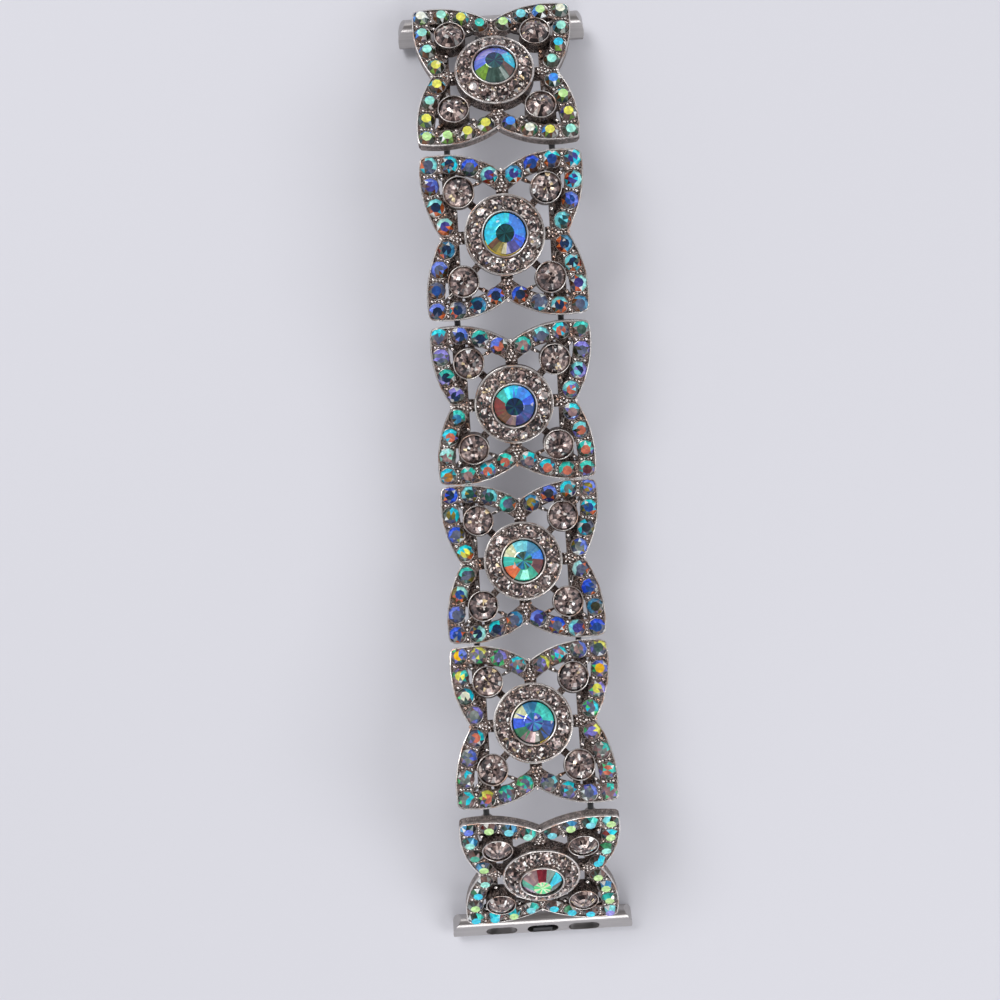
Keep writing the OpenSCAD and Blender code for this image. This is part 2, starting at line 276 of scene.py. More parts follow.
class Paint(Nodes):
    """A node-based material in the making."""

    def __init__(self, name: str) -> None:
        """Starts a material that holds a Principled shader and its output.

        Args:
            name: Name of the material.
        """
        self.material = bpy.data.materials.new(name)
        super().__init__(self.material)
        self.shader = self.node("ShaderNodeBsdfPrincipled")
        self.node("ShaderNodeOutputMaterial", {}, {0: self.shader.outputs[0]})

    def place(self) -> bpy.types.NodeSocket:
        """Gives the Object coordinates."""
        return self.node("ShaderNodeTexCoord").outputs["Object"]

    def noise(self, scale: float, detail: float, vector: bpy.types.NodeSocket | None = None,
              roughness: float = 0.5) -> Signal:
        """Adds a noise, on the Object coordinates unless another vector is given.

        Args:
            scale: Scale of the noise.
            detail: Number of its octaves.
            vector: What the noise is laid out on.
            roughness: Weight of its finer octaves.

        Returns:
            The noise, from 0 to 1.
        """
        return self.signal("ShaderNodeTexNoise", {}, {
            "Vector": self.place() if vector is None else vector, "Scale": scale,
            "Detail": detail, "Roughness": roughness})

    def streaks(self, along: float, across: float, detail: float) -> Signal:
        """Adds a noise that is drawn out along X.

        Args:
            along: Scale along X.
            across: Scale along Y and Z.
            detail: Number of octaves.

        Returns:
            The noise, from 0 to 1.
        """
        drawn = self.node("ShaderNodeMapping", {}, {
            0: self.place(), "Scale": (along, across, across)})
        return self.noise(1.0, detail, drawn.outputs[0])

    def mix(self, share: object, first: object, second: object) -> bpy.types.NodeSocket:
        """Mixes two colours, each a socket, a colour or a colour code.

        Args:
            share: Share of the second colour.
            first: The first colour.
            second: The second colour.

        Returns:
            The mixed colour.
        """
        first, second = (linear(c) if isinstance(c, str) else c for c in (first, second))
        return self.node("ShaderNodeMix", {"data_type": "RGBA"},
                         {0: share, 6: first, 7: second}).outputs[2]

    def times(self, colour: object, amount: Signal) -> bpy.types.NodeSocket:
        """Multiplies a colour by a number."""
        return self.node("ShaderNodeVectorMath", {"operation": "SCALE"},
                         {0: colour, 3: amount}).outputs[0]

    def relief(self, height: Signal, depth: float, strength: float = 1.0) -> bpy.types.NodeSocket:
        """Turns a height from 0 to 1 into the normal of a bump of a depth in millimetres."""
        return self.node("ShaderNodeBump", {}, {
            "Strength": strength, "Distance": depth * MM, "Height": height}).outputs[0]

    def finish(self, sockets: dict) -> bpy.types.Material:
        """Feeds the shader's inputs and hands the material over.

        Args:
            sockets: Values or links, by the input's name.

        Returns:
            The material.
        """
        for name, value in sockets.items():
            self.feed(self.shader.inputs[name], value)
        return self.material


# Finishes


@dataclass(frozen=True)
class CastSilver:
    """Plated casting: polished bright on its rims, edge and back, and darkened in the hollows by
    oxide with painted shade.
    """

    bright: str = "D6D0CC"
    grey: str = "A39C98"
    # The hollows' colour is oxide with painted shade; speck is a painted glint colour.
    oxide_and_painted_shade: str = "221815"
    worn: str = "7E6A62"
    painted_glint_speck: str = "EADCD4"
    grain_scale: float = 2.2
    fine_scale: float = 9.0
    # Share of bright metal on the outer walls, kept low as painted shade.
    wall_shine_in_painted_shade: float = 0.3
    back_polish: float = 0.8
    relief: float = 0.09

    def depth(self, x: Signal, y: Signal) -> Signal:
        """Measures how far inside the outline a point lies.

        Args:
            x: Distance across the link.
            y: Distance along the link.

        Returns:
            The depth, in millimetres.
        """
        depth = (SHAPE.width / 2 - abs(x)).least(SHAPE.length / 2 - abs(y))
        for centre, arc in ((SHAPE.end_centre, SHAPE.end_arc_r),
                            (SHAPE.side_centre, SHAPE.side_arc_r)):
            across, along = abs(x) - centre[0], abs(y) - centre[1]
            depth = depth.least(arc - (across * across + along * along) ** 0.5)
        return depth

    def make(self, name: str, pose: "Pose") -> bpy.types.Material:
        """Builds the finish for one link.

        Args:
            name: Name of the material.
            pose: Where the link lies, which turns Object coordinates into the link's own.

        Returns:
            The material.
        """
        paint = Paint(name)
        local = paint.node("ShaderNodeMapping", {}, {0: paint.place(), **pose.mapping()}).outputs[0]
        x, y, z = paint.split(local)
        radius = (x * x + y * y) ** 0.5
        depth = self.depth(x, y)
        edge = (1 - depth.rise(0.08, 0.2)) * z.rise(SHAPE.border_z - 0.2, SHAPE.border_z - 0.05)
        inside = SHAPE.ring_r - SHAPE.ring_lip
        ring = (radius.rise(inside - 0.03, inside + 0.03)
                * z.rise(SHAPE.ring_z - 0.3, SHAPE.ring_z - 0.1)
                * (1 - radius.rise(SHAPE.ring_r + 0.15, SHAPE.ring_r + 0.25)))
        bezel = z.rise(SHAPE.bezel_z - 0.25, SHAPE.bezel_z - 0.1)
        back = (1 - z.rise(0.03, 0.12)) * self.back_polish
        # Painted shade: the outer walls stay mostly dark.
        wall = (1 - depth.rise(0.02, 0.06)) * self.wall_shine_in_painted_shade
        polish = edge.most(ring).most(bezel).most(back).most(wall)
        grain = paint.noise(self.grain_scale, 5.0, local, 0.66)
        fine = paint.noise(self.fine_scale, 2.0, local)
        # Hollows: oxide with painted shade, dotted with painted glint specks.
        dull = paint.mix(grain.rise(0.43, 0.66), self.oxide_and_painted_shade, self.worn)
        hollow = paint.mix(fine.rise(0.58, 0.66) * 0.85, dull, self.painted_glint_speck)
        bright = paint.mix(grain.rise(0.3, 0.7), self.grey, self.bright)
        return paint.finish({
            "Base Color": paint.mix(polish, hollow, bright),
            "Metallic": 0.72 + polish * 0.28,
            "Roughness": 0.44 - polish * 0.22 + fine * 0.12,
            "Normal": paint.relief(grain + fine * 0.4, self.relief, 0.9),
        })


@dataclass(frozen=True)
class PolishedSilver:
    """Rolled rims and beads, bright on top as a painted highlight and darkened at their foot as
    painted shade, both read from a vertex attribute.
    """

    bright: str = "E0DCD8"
    warm: str = "BC9D8C"
    # The foot colour is painted shade with oxide.
    foot: str = "2C2320"
    roughness: float = 0.2
    cloud_scale: float = 900.0
    tint_scale: float = 520.0

    def make(self, name: str) -> bpy.types.Material:
        """Builds the finish under a name.

        Args:
            name: Name of the material.

        Returns:
            The material.
        """
        paint = Paint(name)
        polish = paint.signal("ShaderNodeAttribute", {"attribute_name": "polish"}, output="Fac")
        cloud = paint.noise(self.cloud_scale, 3.0)
        # Painted highlight and painted shade from the vertex attribute, mottled by the cloud noise.
        painted_light_mottled = polish * (0.72 + cloud * 0.5)
        tint = paint.noise(self.tint_scale, 1.0).rise(0.5, 0.68)
        bright = paint.mix(tint, self.bright, self.warm)
        return paint.finish({
            "Base Color": paint.mix(painted_light_mottled.rise(0.1, 0.85), self.foot, bright),
            "Metallic": 1.0,
            "Roughness": self.roughness + cloud * 0.16,
            "Normal": paint.relief(cloud, 0.02, 0.5),
        })


@dataclass(frozen=True)
class CutGlass:
    """Foil-backed glass whose facets carry their painted colours, broken up by painted reflections
    of its back facets.

    Cells is the scale of that breaking up, dim the share of a facet's colour that the darkest cell
    shows, lift what the brightest adds, and spark the chance above which a cell is painted as a
    glint.
    """

    cells: float = 2300.0
    dim: float = 0.82
    lift: float = 0.5
    metallic: float = 0.25
    coat: float = 1.0
    roughness: float = 0.1
    spark: float = 0.985
    glint: str = "EFE6E0"

    def make(self, name: str) -> bpy.types.Material:
        """Builds the finish under a name.

        Args:
            name: Name of the material.

        Returns:
            The material.
        """
        paint = Paint(name)
        # The facet attribute holds painted coating hues, painted highlights and painted shade.
        facet = paint.node("ShaderNodeAttribute", {"attribute_name": "facet"}).outputs["Color"]
        cell = paint.node("ShaderNodeTexVoronoi", {},
                          {"Vector": paint.place(), "Scale": self.cells})
        chance = paint.signal("ShaderNodeSeparateColor", {}, {0: cell.outputs["Color"]})
        body = paint.times(facet, self.dim + chance * chance * self.lift)
        return paint.finish({
            "Base Color": paint.mix(chance.rise(self.spark, self.spark + 0.02), body, self.glint),
            "Metallic": self.metallic,
            "Roughness": self.roughness + chance * 0.1,
            "Coat Weight": self.coat,
            "Coat Roughness": 0.03,
            "Normal": paint.relief(chance, 0.01, 0.35),
        })


@dataclass(frozen=True)
class SatinRail:
    """Brushed stainless steel with marks along the rail's length."""

    colour: str = "C9C6C4"
    shade: str = "9E9A98"

    def make(self, name: str) -> bpy.types.Material:
        """Builds the finish under a name.

        Args:
            name: Name of the material.

        Returns:
            The material.
        """
        paint = Paint(name)
        lines = paint.streaks(120.0, 5200.0, 4.0)
        cloud = paint.noise(160.0, 3.0)
        return paint.finish({
            "Base Color": paint.mix(lines * 0.6 + cloud * 0.4, self.shade, self.colour),
            "Metallic": 1.0,
            "Roughness": 0.24 + lines * 0.2,
            "Normal": paint.relief(lines, 0.006, 0.6),
        })


@dataclass(frozen=True)
class ElasticYarn:
    """Covered elastic: a tight braid over rubber, laid out on the cord's own UV map."""

    dark: str = "0E0E10"
    light: str = "3A3A40"
    around: float = 44.0
    along: float = 26.0

    def make(self, name: str) -> bpy.types.Material:
        """Builds the finish under a name.

        Args:
            name: Name of the material.

        Returns:
            The material.
        """
        paint = Paint(name)
        around, along, _ = paint.split(paint.node("ShaderNodeUVMap").outputs[0])
        strands = [(around * self.around + along * turn).sine()
                   for turn in (self.along, -self.along)]
        weave = abs(strands[0] * strands[1])
        return paint.finish({
            "Base Color": paint.mix(weave, self.dark, self.light),
            "Roughness": 0.85 - weave * 0.2,
            "Sheen Weight": 0.3,
            "Normal": paint.relief(weave, 0.05),
        })


@dataclass(frozen=True)
class MouldedNylon:
    """Black moulded plastic with a fine spark-eroded skin."""

    dark: str = "141416"
    light: str = "26262A"

    def make(self, name: str) -> bpy.types.Material:
        """Builds the finish under a name.

        Args:
            name: Name of the material.

        Returns:
            The material.
        """
        paint = Paint(name)
        skin = paint.noise(9000.0, 2.0)
        return paint.finish({
            "Base Color": paint.mix(skin, self.dark, self.light),
            "Roughness": 0.42 + skin * 0.15,
            "Normal": paint.relief(skin, 0.01, 0.5),
        })


@dataclass(frozen=True)
class SpringStrip:
    """Blue-grey rolled spring steel."""

    dark: str = "6E7278"
    light: str = "A9ADB2"

    def make(self, name: str) -> bpy.types.Material:
        """Builds the finish under a name.

        Args:
            name: Name of the material.

        Returns:
            The material.
        """
        paint = Paint(name)
        lines = paint.streaks(300.0, 4000.0, 3.0)
        return paint.finish({
            "Base Color": paint.mix(lines, self.dark, self.light),
            "Metallic": 1.0,
            "Roughness": 0.28 + lines * 0.12,
        })


class Finish(Enum):
    """The finishes that several pieces share, each with its material's name."""

    RIMS = ("polished_rims", PolishedSilver())
    # The beads' foot colour is painted shade with oxide.
    BEADS = ("polished_beads", PolishedSilver("EAE2DC", "C09A84", "201815", 0.17))
    COATED = ("coated_glass", CutGlass())
    SMOKY = ("smoky_glass", CutGlass(cells=3200.0, dim=0.62, lift=1.1, metallic=0.3, coat=0.8,
                                     spark=0.965))
    HALO = ("smoky_halo_glass", CutGlass(cells=3600.0, dim=0.3, lift=2.3, metallic=0.2, coat=0.6,
                                         spark=0.93))
    RAIL = ("satin_rail", SatinRail())
    NYLON = ("black_nylon", MouldedNylon())
    SPRING = ("spring_strip", SpringStrip())
    ELASTIC = ("covered_elastic", ElasticYarn())

    def make(self) -> bpy.types.Material:
        """Builds the finish."""
        name, maker = self.value
        return maker.make(name)


Finishes = dict[Finish, bpy.types.Material]


# Mesh helpers


def pick(obj: bpy.types.Object) -> None:
    """Makes one object the only selected one, and the active one.

    Args:
        obj: The object.
    """
    for other in bpy.context.selected_objects:
        other.select_set(False)
    obj.select_set(True)
    bpy.context.view_layer.objects.active = obj


@contextmanager
def editing(obj: bpy.types.Object) -> Iterator[None]:
    """Opens an object in edit mode with nothing selected, and closes it again.

    Args:
        obj: The object.
    """
    pick(obj)
    bpy.ops.object.mode_set(mode="EDIT")
    bpy.ops.mesh.select_mode(type="FACE")
    clear_choice()
    yield
    bpy.ops.object.mode_set(mode="OBJECT")


def choose_all() -> None:
    """Selects the whole mesh in edit mode."""
    bpy.ops.mesh.select_all(action="SELECT")


def clear_choice() -> None:
    """Deselects the whole mesh in edit mode."""
    bpy.ops.mesh.select_all(action="DESELECT")


def choose(obj: bpy.types.Object, wanted: Callable[[bmesh.types.BMFace], bool]) -> None:
    """Selects faces in edit mode.

    Args:
        obj: The object that is being edited.
        wanted: Tells by a face's place or normal whether it is selected.
    """
    mesh = bmesh.from_edit_mesh(obj.data)
    mesh.normal_update()
    for face in mesh.faces:
        face.select_set(wanted(face))
    bmesh.update_edit_mesh(obj.data)


def extrude(x: float, y: float, z: float) -> None:
    """Extrudes the selected faces in edit mode."""
    bpy.ops.mesh.extrude_region_move(TRANSFORM_OT_translate={"value": (x, y, z)})


def turn_out(obj: bpy.types.Object, smooth: bool) -> None:
    """Makes all faces point outwards, and smooths them if asked.

    Args:
        obj: The object.
        smooth: Whether its faces are shaded smooth.
    """
    with editing(obj):
        choose_all()
        bpy.ops.mesh.normals_make_consistent(inside=False)
        if smooth:
            bpy.ops.mesh.faces_shade_smooth()


def apply_modifier(obj: bpy.types.Object, kind: str, **settings: object) -> None:
    """Adds a modifier, sets it up and applies it.

    Args:
        obj: The object.
        kind: The modifier's type.
        **settings: The modifier's properties.
    """
    modifier = obj.modifiers.new(kind.title(), kind)
    for name, value in settings.items():
        setattr(modifier, name, value)
    pick(obj)
    bpy.ops.object.modifier_apply(modifier=modifier.name)


def soften(obj: bpy.types.Object, width: float, angle: float) -> None:
    """Bevels the edges that are sharper than an angle in degrees."""
    apply_modifier(obj, "BEVEL", width=width, segments=2, limit_method="ANGLE",
                   angle_limit=math.radians(angle))


def shown(name: str, data: bpy.types.ID) -> bpy.types.Object:
    """Makes an object of its data and puts it in the scene.

    Args:
        name: The object's name.
        data: Its mesh, lamp or camera.

    Returns:
        The object.
    """
    obj = bpy.data.objects.new(name, data)
    bpy.context.scene.collection.objects.link(obj)
    return obj


def copy_of(obj: bpy.types.Object, place: Matrix) -> bpy.types.Object:
    """Copies an object with its own mesh, laid out by a matrix.

    Args:
        obj: The object.
        place: The matrix.

    Returns:
        The copy.
    """
    twin = shown(obj.name, obj.data.copy())
    twin.data.transform(place)
    return twin


def joined(objects: Sequence[bpy.types.Object], name: str) -> bpy.types.Object:
    """Joins objects into one piece.

    Args:
        objects: The objects, at least one.
        name: The piece's name.

    Returns:
        The piece.
    """
    pick(objects[0])
    for obj in objects:
        obj.select_set(True)
    if len(objects) > 1:
        bpy.ops.object.join()
    whole = bpy.context.view_layer.objects.active
    whole.name = whole.data.name = name
    return whole


def discard(obj: bpy.types.Object) -> None:
    """Removes a pattern piece once its copies are made.

    Args:
        obj: The pattern piece.
    """
    mesh = obj.data
    bpy.data.objects.remove(obj)
    bpy.data.meshes.remove(mesh)


def mark(mesh: bpy.types.Mesh, value: Callable[[Vector], float]) -> None:
    """Writes the attribute of painted highlight and painted shade from each vertex's place."""
    layer = mesh.attributes.get("polish") or mesh.attributes.new("polish", "FLOAT", "POINT")
    layer.data.foreach_set("value", [value(vertex.co) for vertex in mesh.vertices])


def dress(obj: bpy.types.Object, finish: bpy.types.Material) -> None:
    """Gives a piece its only finish and reports it.

    Args:
        obj: The piece.
        finish: Its material.
    """
    obj.data.materials.clear()
    obj.data.materials.append(finish)
    log.info("%s: %d faces", obj.name, len(obj.data.polygons))


# Poses and places


@dataclass(frozen=True)
class Pose:
    """Where one piece of the chain lies: its origin in the plane of the band's length, its tilt."""

    along: float
    up: float
    tilt: float

    def matrix(self) -> Matrix:
        """Gives the matrix from the piece's own millimetres to metres in the part's frame."""
        return (Matrix.Scale(MM, 4) @ Matrix.Translation((0, self.along, self.up))
                @ Matrix.Rotation(-math.radians(self.tilt), 4, "X"))

    def mapping(self) -> dict:
        """Gives the Mapping node's inputs that turn metres back into the piece's millimetres.

        Returns:
            The inputs, by name.
        """
        turn = Matrix.Rotation(math.radians(self.tilt), 3, "X")
        return {"Location": tuple(turn @ Vector((0, -self.along, -self.up))),
                "Rotation": (math.radians(self.tilt), 0.0, 0.0), "Scale": (1 / MM, 1 / MM, 1 / MM)}


@dataclass(frozen=True)
class Gap(Pose):
    """The middle of one gap of the chain, where the cords bend.

    Curl is the bend in degrees, outward 1 toward the top end and -1 toward the bottom end, and
    outer the body that swings there.
    """

    name: str
    curl: float
    outward: int
    outer: str

    @property
    def down(self) -> int:
        """Tells which way the cords bend: -1 toward the band's back, 1 toward its front."""
        return -1 if self.curl > 0 else 1

    def matrix(self) -> Matrix:
        """Gives the matrix from the gap's own millimetres, outward along +Y, to metres."""
        flip = Matrix.Identity(4) if self.outward > 0 else Matrix.Rotation(math.pi, 4, "Z")
        return super().matrix() @ flip


@dataclass(frozen=True)
class Chain:
    """How the band lies at rest, read off the frame's joints.

    A curl joint stands on the cords' middle line in each gap, so a link lies halfway between two.
    """

    gaps: tuple[str, ...] = ("top_end", "1_2", "2_3", "3_4", "4_5", "5_6", "bottom_end")

    def joint(self, name: str) -> dict:
        """Finds one joint of the frame."""
        return next(joint for joint in frame["joints"] if joint["name"] == name)

    def spot(self, gap: int) -> Vector:
        """Gives the middle of a gap, along and up, in millimetres."""
        return Vector(self.joint(f"curl_{self.gaps[gap]}")["pos_m"][1:]) / MM

    def link(self, number: int) -> Pose:
        """Works out how one link lies.

        Args:
            number: The link, from 1 at the top end.

        Returns:
            Its pose.
        """
        above, below = self.spot(number - 1), self.spot(number)
        way = (above - below).normalized()
        origin = (above + below) / 2 - Vector((-way.y, way.x)) * SHAPE.cord_z
        return Pose(origin.x, origin.y, -math.degrees(math.atan2(way.y, way.x)))

    def rail_tilt(self, end: str) -> float:
        """Works out how a rail tilts, from the way in which its catch presses in.

        Args:
            end: "top" or "bottom".

        Returns:
            The tilt, in degrees.
        """
        side = -1 if end == "top" else 1
        _, y, z = self.joint(f"{end}_catch_press")["axis"]
        return -math.degrees(math.atan2(side * z, side * y))

    def gap(self, number: int) -> Gap:
        """Works out where one gap's cords bend, and how far.

        Args:
            number: The gap, from 0 at the top end.

        Returns:
            The gap.
        """
        links = [self.link(n).tilt for n in range(1, LINKS + 1)]
        tilts = [self.rail_tilt("top"), *links, self.rail_tilt("bottom")]
        outward = 1 if number < ROOT_LINK else -1
        inner, outer = (number + 1, number) if outward > 0 else (number, number + 1)
        name = self.gaps[number]
        return Gap(*self.spot(number), tilts[inner], name, (tilts[outer] - tilts[inner]) * outward,
                   outward, self.joint(f"curl_{name}")["child"])


class Quarter(Enum):
    """The four wings of a link, seen from above with the band's top end upward."""

    UPPER_LEFT = (-1, 1)
    UPPER_RIGHT = (1, 1)
    LOWER_LEFT = (-1, -1)
    LOWER_RIGHT = (1, -1)

    def put(self, point: Spot) -> Spot:
        """Mirrors a point of the upper right wing into this wing."""
        return point[0] * self.value[0], point[1] * self.value[1]


def azimuth(vector: Vector) -> float:
    """Gives a vector's direction in degrees, from +X toward +Y."""
    return math.degrees(math.atan2(vector.y, vector.x)) % 360


def apart(first: float, second: float) -> float:
    """Gives the angle between two directions, in degrees."""
    return abs((first - second + 180) % 360 - 180)


# Stones


class Hue(Enum):
    """The colours that the coating throws, which the facets carry as painted reflections, each with
    its letter and two tones.
    """

    AZURE = ("a", "3096FA 3F8CF6")
    PERIWINKLE = ("A", "5C78F2 6C84E6")
    ROYAL = ("b", "2450E6 2E62F0")
    SAPPHIRE = ("B", "1C4590 22529E")
    CYAN = ("c", "16CCF2 22DCF0")
    ICE = ("C", "74DCEC 86E6F0")
    GARNET = ("d", "5A2A32 6C3838")
    PINE = ("e", "174A42 1F5C50")
    PETROL = ("E", "0C3A3A 124A48")
    GREEN = ("g", "2A7A50 3A9060")
    LIME = ("G", "C0F298 D0F6AA")
    HONEY = ("H", "BE843C AE7432")
    INDIGO = ("i", "3C3A86 4E4A9C")
    JADE = ("j", "2FAE92 4CBC9C")
    OLIVE_BLACK = ("k", "2C3024 3C3E2A")
    LAVENDER = ("l", "8480E0 9890E6")
    ORCHID = ("L", "A070A4 B482B0")
    MINT = ("m", "50F08C 66F4A0")
    AQUA = ("M", "A8F8E2 98F0E2")
    BROWN = ("n", "7A4A24 6A401E")
    NAVY = ("N", "0E2846 14325A")
    ORANGE = ("o", "F27C3A E86A34")
    GOLD = ("O", "FFC81A FFB80C")
    MAUVE = ("p", "94767A A88A86")
    CORAL = ("P", "D8785E C46A58")
    STEEL = ("q", "2C7EAE 4494BC")
    RUST = ("r", "8A2C22 7A2A24")
    CRIMSON = ("R", "6E1626 86202E")
    SLATE = ("s", "56607C 666C84")
    GREY = ("S", "707C7A 848C88")
    TURQUOISE = ("t", "38D8C6 2CC0B4")
    TEAL = ("T", "0F4650 1A5A60")
    TAUPE = ("u", "5E4640 6C504A")
    OLIVE = ("v", "5C8C1E 76A02C")
    CREAM = ("w", "E2E8B4 EEF0CC")
    WHITE = ("W", "F8FCDE F2F8EA")
    CHARCOAL = ("x", "262A34 34363F")
    BRASS = ("y", "A08C34 7E7430")
    YELLOW = ("Y", "F4F25A EEEC64")
    SAGE = ("z", "46625A 3A544C")

    @classmethod
    def tone(cls, letter: str, rng: random.Random, strength: float = 1.0,
             spread: float = 0.12) -> Colour:
        """Picks one tone of the hue with a letter.

        Args:
            letter: The hue's letter.
            rng: Source of the choice.
            strength: Brightness, where 1 is the tone as written.
            spread: How far the brightness may wander.

        Returns:
            The colour.
        """
        tones = next(hue.value[1] for hue in cls if hue.value[0] == letter)
        return shaded(linear(rng.choice(tones.split())),
                      strength * rng.uniform(1 - spread, 1 + spread))


class Facet(Enum):
    """The groups of facets that are coloured apart."""

    TABLE = 1
    CROWN = 2
    FOOT = 3

    @classmethod
    def of(cls, normal: Vector) -> "Facet":
        """Tells which group a facet belongs to by its normal.

        Args:
            normal: The facet's normal.

        Returns:
            The group.
        """
        if normal.z > 0.97:
            return cls.TABLE
        return cls.CROWN if normal.z > 0.1 else cls.FOOT


@dataclass(frozen=True)
class StoneCut:
    """A round stone's sizes, with its table, star and band as shares or steps of its crown."""

    diameter: float
    table: float
    crown: float
    pavilion: float
    sides: int
    girdle: float = 0.04
    star: float = 0.0
    band: float = 0.0
    star_rise: float = 0.3

    def model(self) -> bpy.types.Object:
        """Cuts the stone with its girdle at height 0.

        A frustum is twisted by half a step and split into crown facets, its table is cut into the
        wedges that the back facets show through it, and its foot is drawn down to the point.

        Returns:
            The pattern stone, in millimetres.
        """
        bpy.ops.mesh.primitive_cone_add(
            vertices=self.sides, radius1=self.diameter / 2,
            radius2=self.diameter * self.table / 2, depth=self.crown,
            location=(0, 0, self.crown / 2))
        stone = bpy.context.object
        bpy.ops.object.transform_apply(location=True, rotation=True, scale=True)
        top = self.crown - 1e-3
        with editing(stone):
            choose(stone, lambda face: face.calc_center_median().z > top)
            bpy.ops.transform.rotate(value=math.pi / self.sides, orient_axis="Z",
                                     center_override=(0, 0, self.crown))
            choose_all()
            choose(stone, lambda face: len(face.verts) == 4)
            bpy.ops.mesh.quads_convert_to_tris(quad_method="SHORTEST_DIAGONAL")
            if self.band:
                choose_all()
                bpy.ops.mesh.bisect(plane_co=(0, 0, self.crown * self.band), plane_no=(0, 0, 1))
            clear_choice()
            choose(stone, lambda face: face.calc_center_median().z > top)
            if self.star:
                bpy.ops.mesh.inset(thickness=self.star, depth=0)
                bpy.ops.transform.translate(value=(0, 0, self.star * self.star_rise))
            bpy.ops.mesh.poke()
            clear_choice()
            choose(stone, lambda face: face.normal.z < -0.99)
            extrude(0, 0, -self.girdle)
            extrude(0, 0, self.girdle - self.pavilion)
            bpy.ops.mesh.merge(type="CENTER")
        stone.name = "stone_pattern"
        return stone


@dataclass(frozen=True)
class Seat:
    """How a stone sits: its place in the link, its turn about its own axis and its wing."""

    place: Matrix
    spin: float = 0.0
    quarter: Quarter = Quarter.UPPER_RIGHT


@dataclass(frozen=True)
class StoneSet:
    """Stones of one cut that a link holds, coloured facet by facet."""

    cut: StoneCut
    girdle_z: float
    seed: ClassVar[int]
    title: ClassVar[str]
    node: ClassVar[str]
    slot: ClassVar[str]
    finish: ClassVar[Finish]

    def seats(self, rng: random.Random) -> Iterator[Seat]:
        """Gives each stone's seat."""
        raise NotImplementedError

    def colours(self, link: int, seat: Seat, rng: random.Random) -> FacetColours:
        """Gives what picks a facet's colour from its middle and its normal on one stone."""
        raise NotImplementedError

    def build(self, link: int, pose: Pose) -> bpy.types.Object:
        """Sets all these stones of one link.

        Args:
            link: The link's number.
            pose: Where the link lies.

        Returns:
            The stones as one piece.
        """
        rng = random.Random(self.seed + link)
        pattern = self.cut.model()
        stones = []
        for seat in self.seats(rng):
            stone = copy_of(pattern, Matrix.Rotation(seat.spin, 4, "Z"))
            colour = self.colours(link, seat, rng)
            layer = stone.data.color_attributes.new(name="facet", type="FLOAT_COLOR",
                                                    domain="CORNER")
            for facet in stone.data.polygons:
                tint = (*colour(facet.center, facet.normal), 1.0)
                for loop in facet.loop_indices:
                    layer.data[loop].color = tint
            stone.data.transform(pose.matrix() @ seat.place)
            stones.append(stone)
        discard(pattern)
        return joined(stones, f"link_{link}_{self.title}")


@dataclass(frozen=True)
class Play:
    """How a link's small stones play: palettes of hue letters, and where a crown's painted flash
    falls.

    Upper and lower are the tables' hues on the two upper and the two lower wings, pale as painted
    reflections of the light on links 1 and 6 and mostly dark as painted shade on links 2 and 4. A
    stone draws one hue from each palette. Aim is the painted flash's direction, spread how far it
    wanders from stone to stone, half its half angle, and mixed the share of a table that shows the
    other two hues.
    """

    upper: str
    lower: str
    flash: str
    shade: str
    aim: float
    spread: float
    half: float
    mixed: float

    def draw(self, quarter: Quarter, rng: random.Random) -> tuple[str, str, str]:
        """Draws one stone's hues for its table, its flash and the rest of its crown."""
        tables = self.upper if quarter.value[1] > 0 else self.lower
        return rng.choice(tables), rng.choice(self.flash), rng.choice(self.shade)


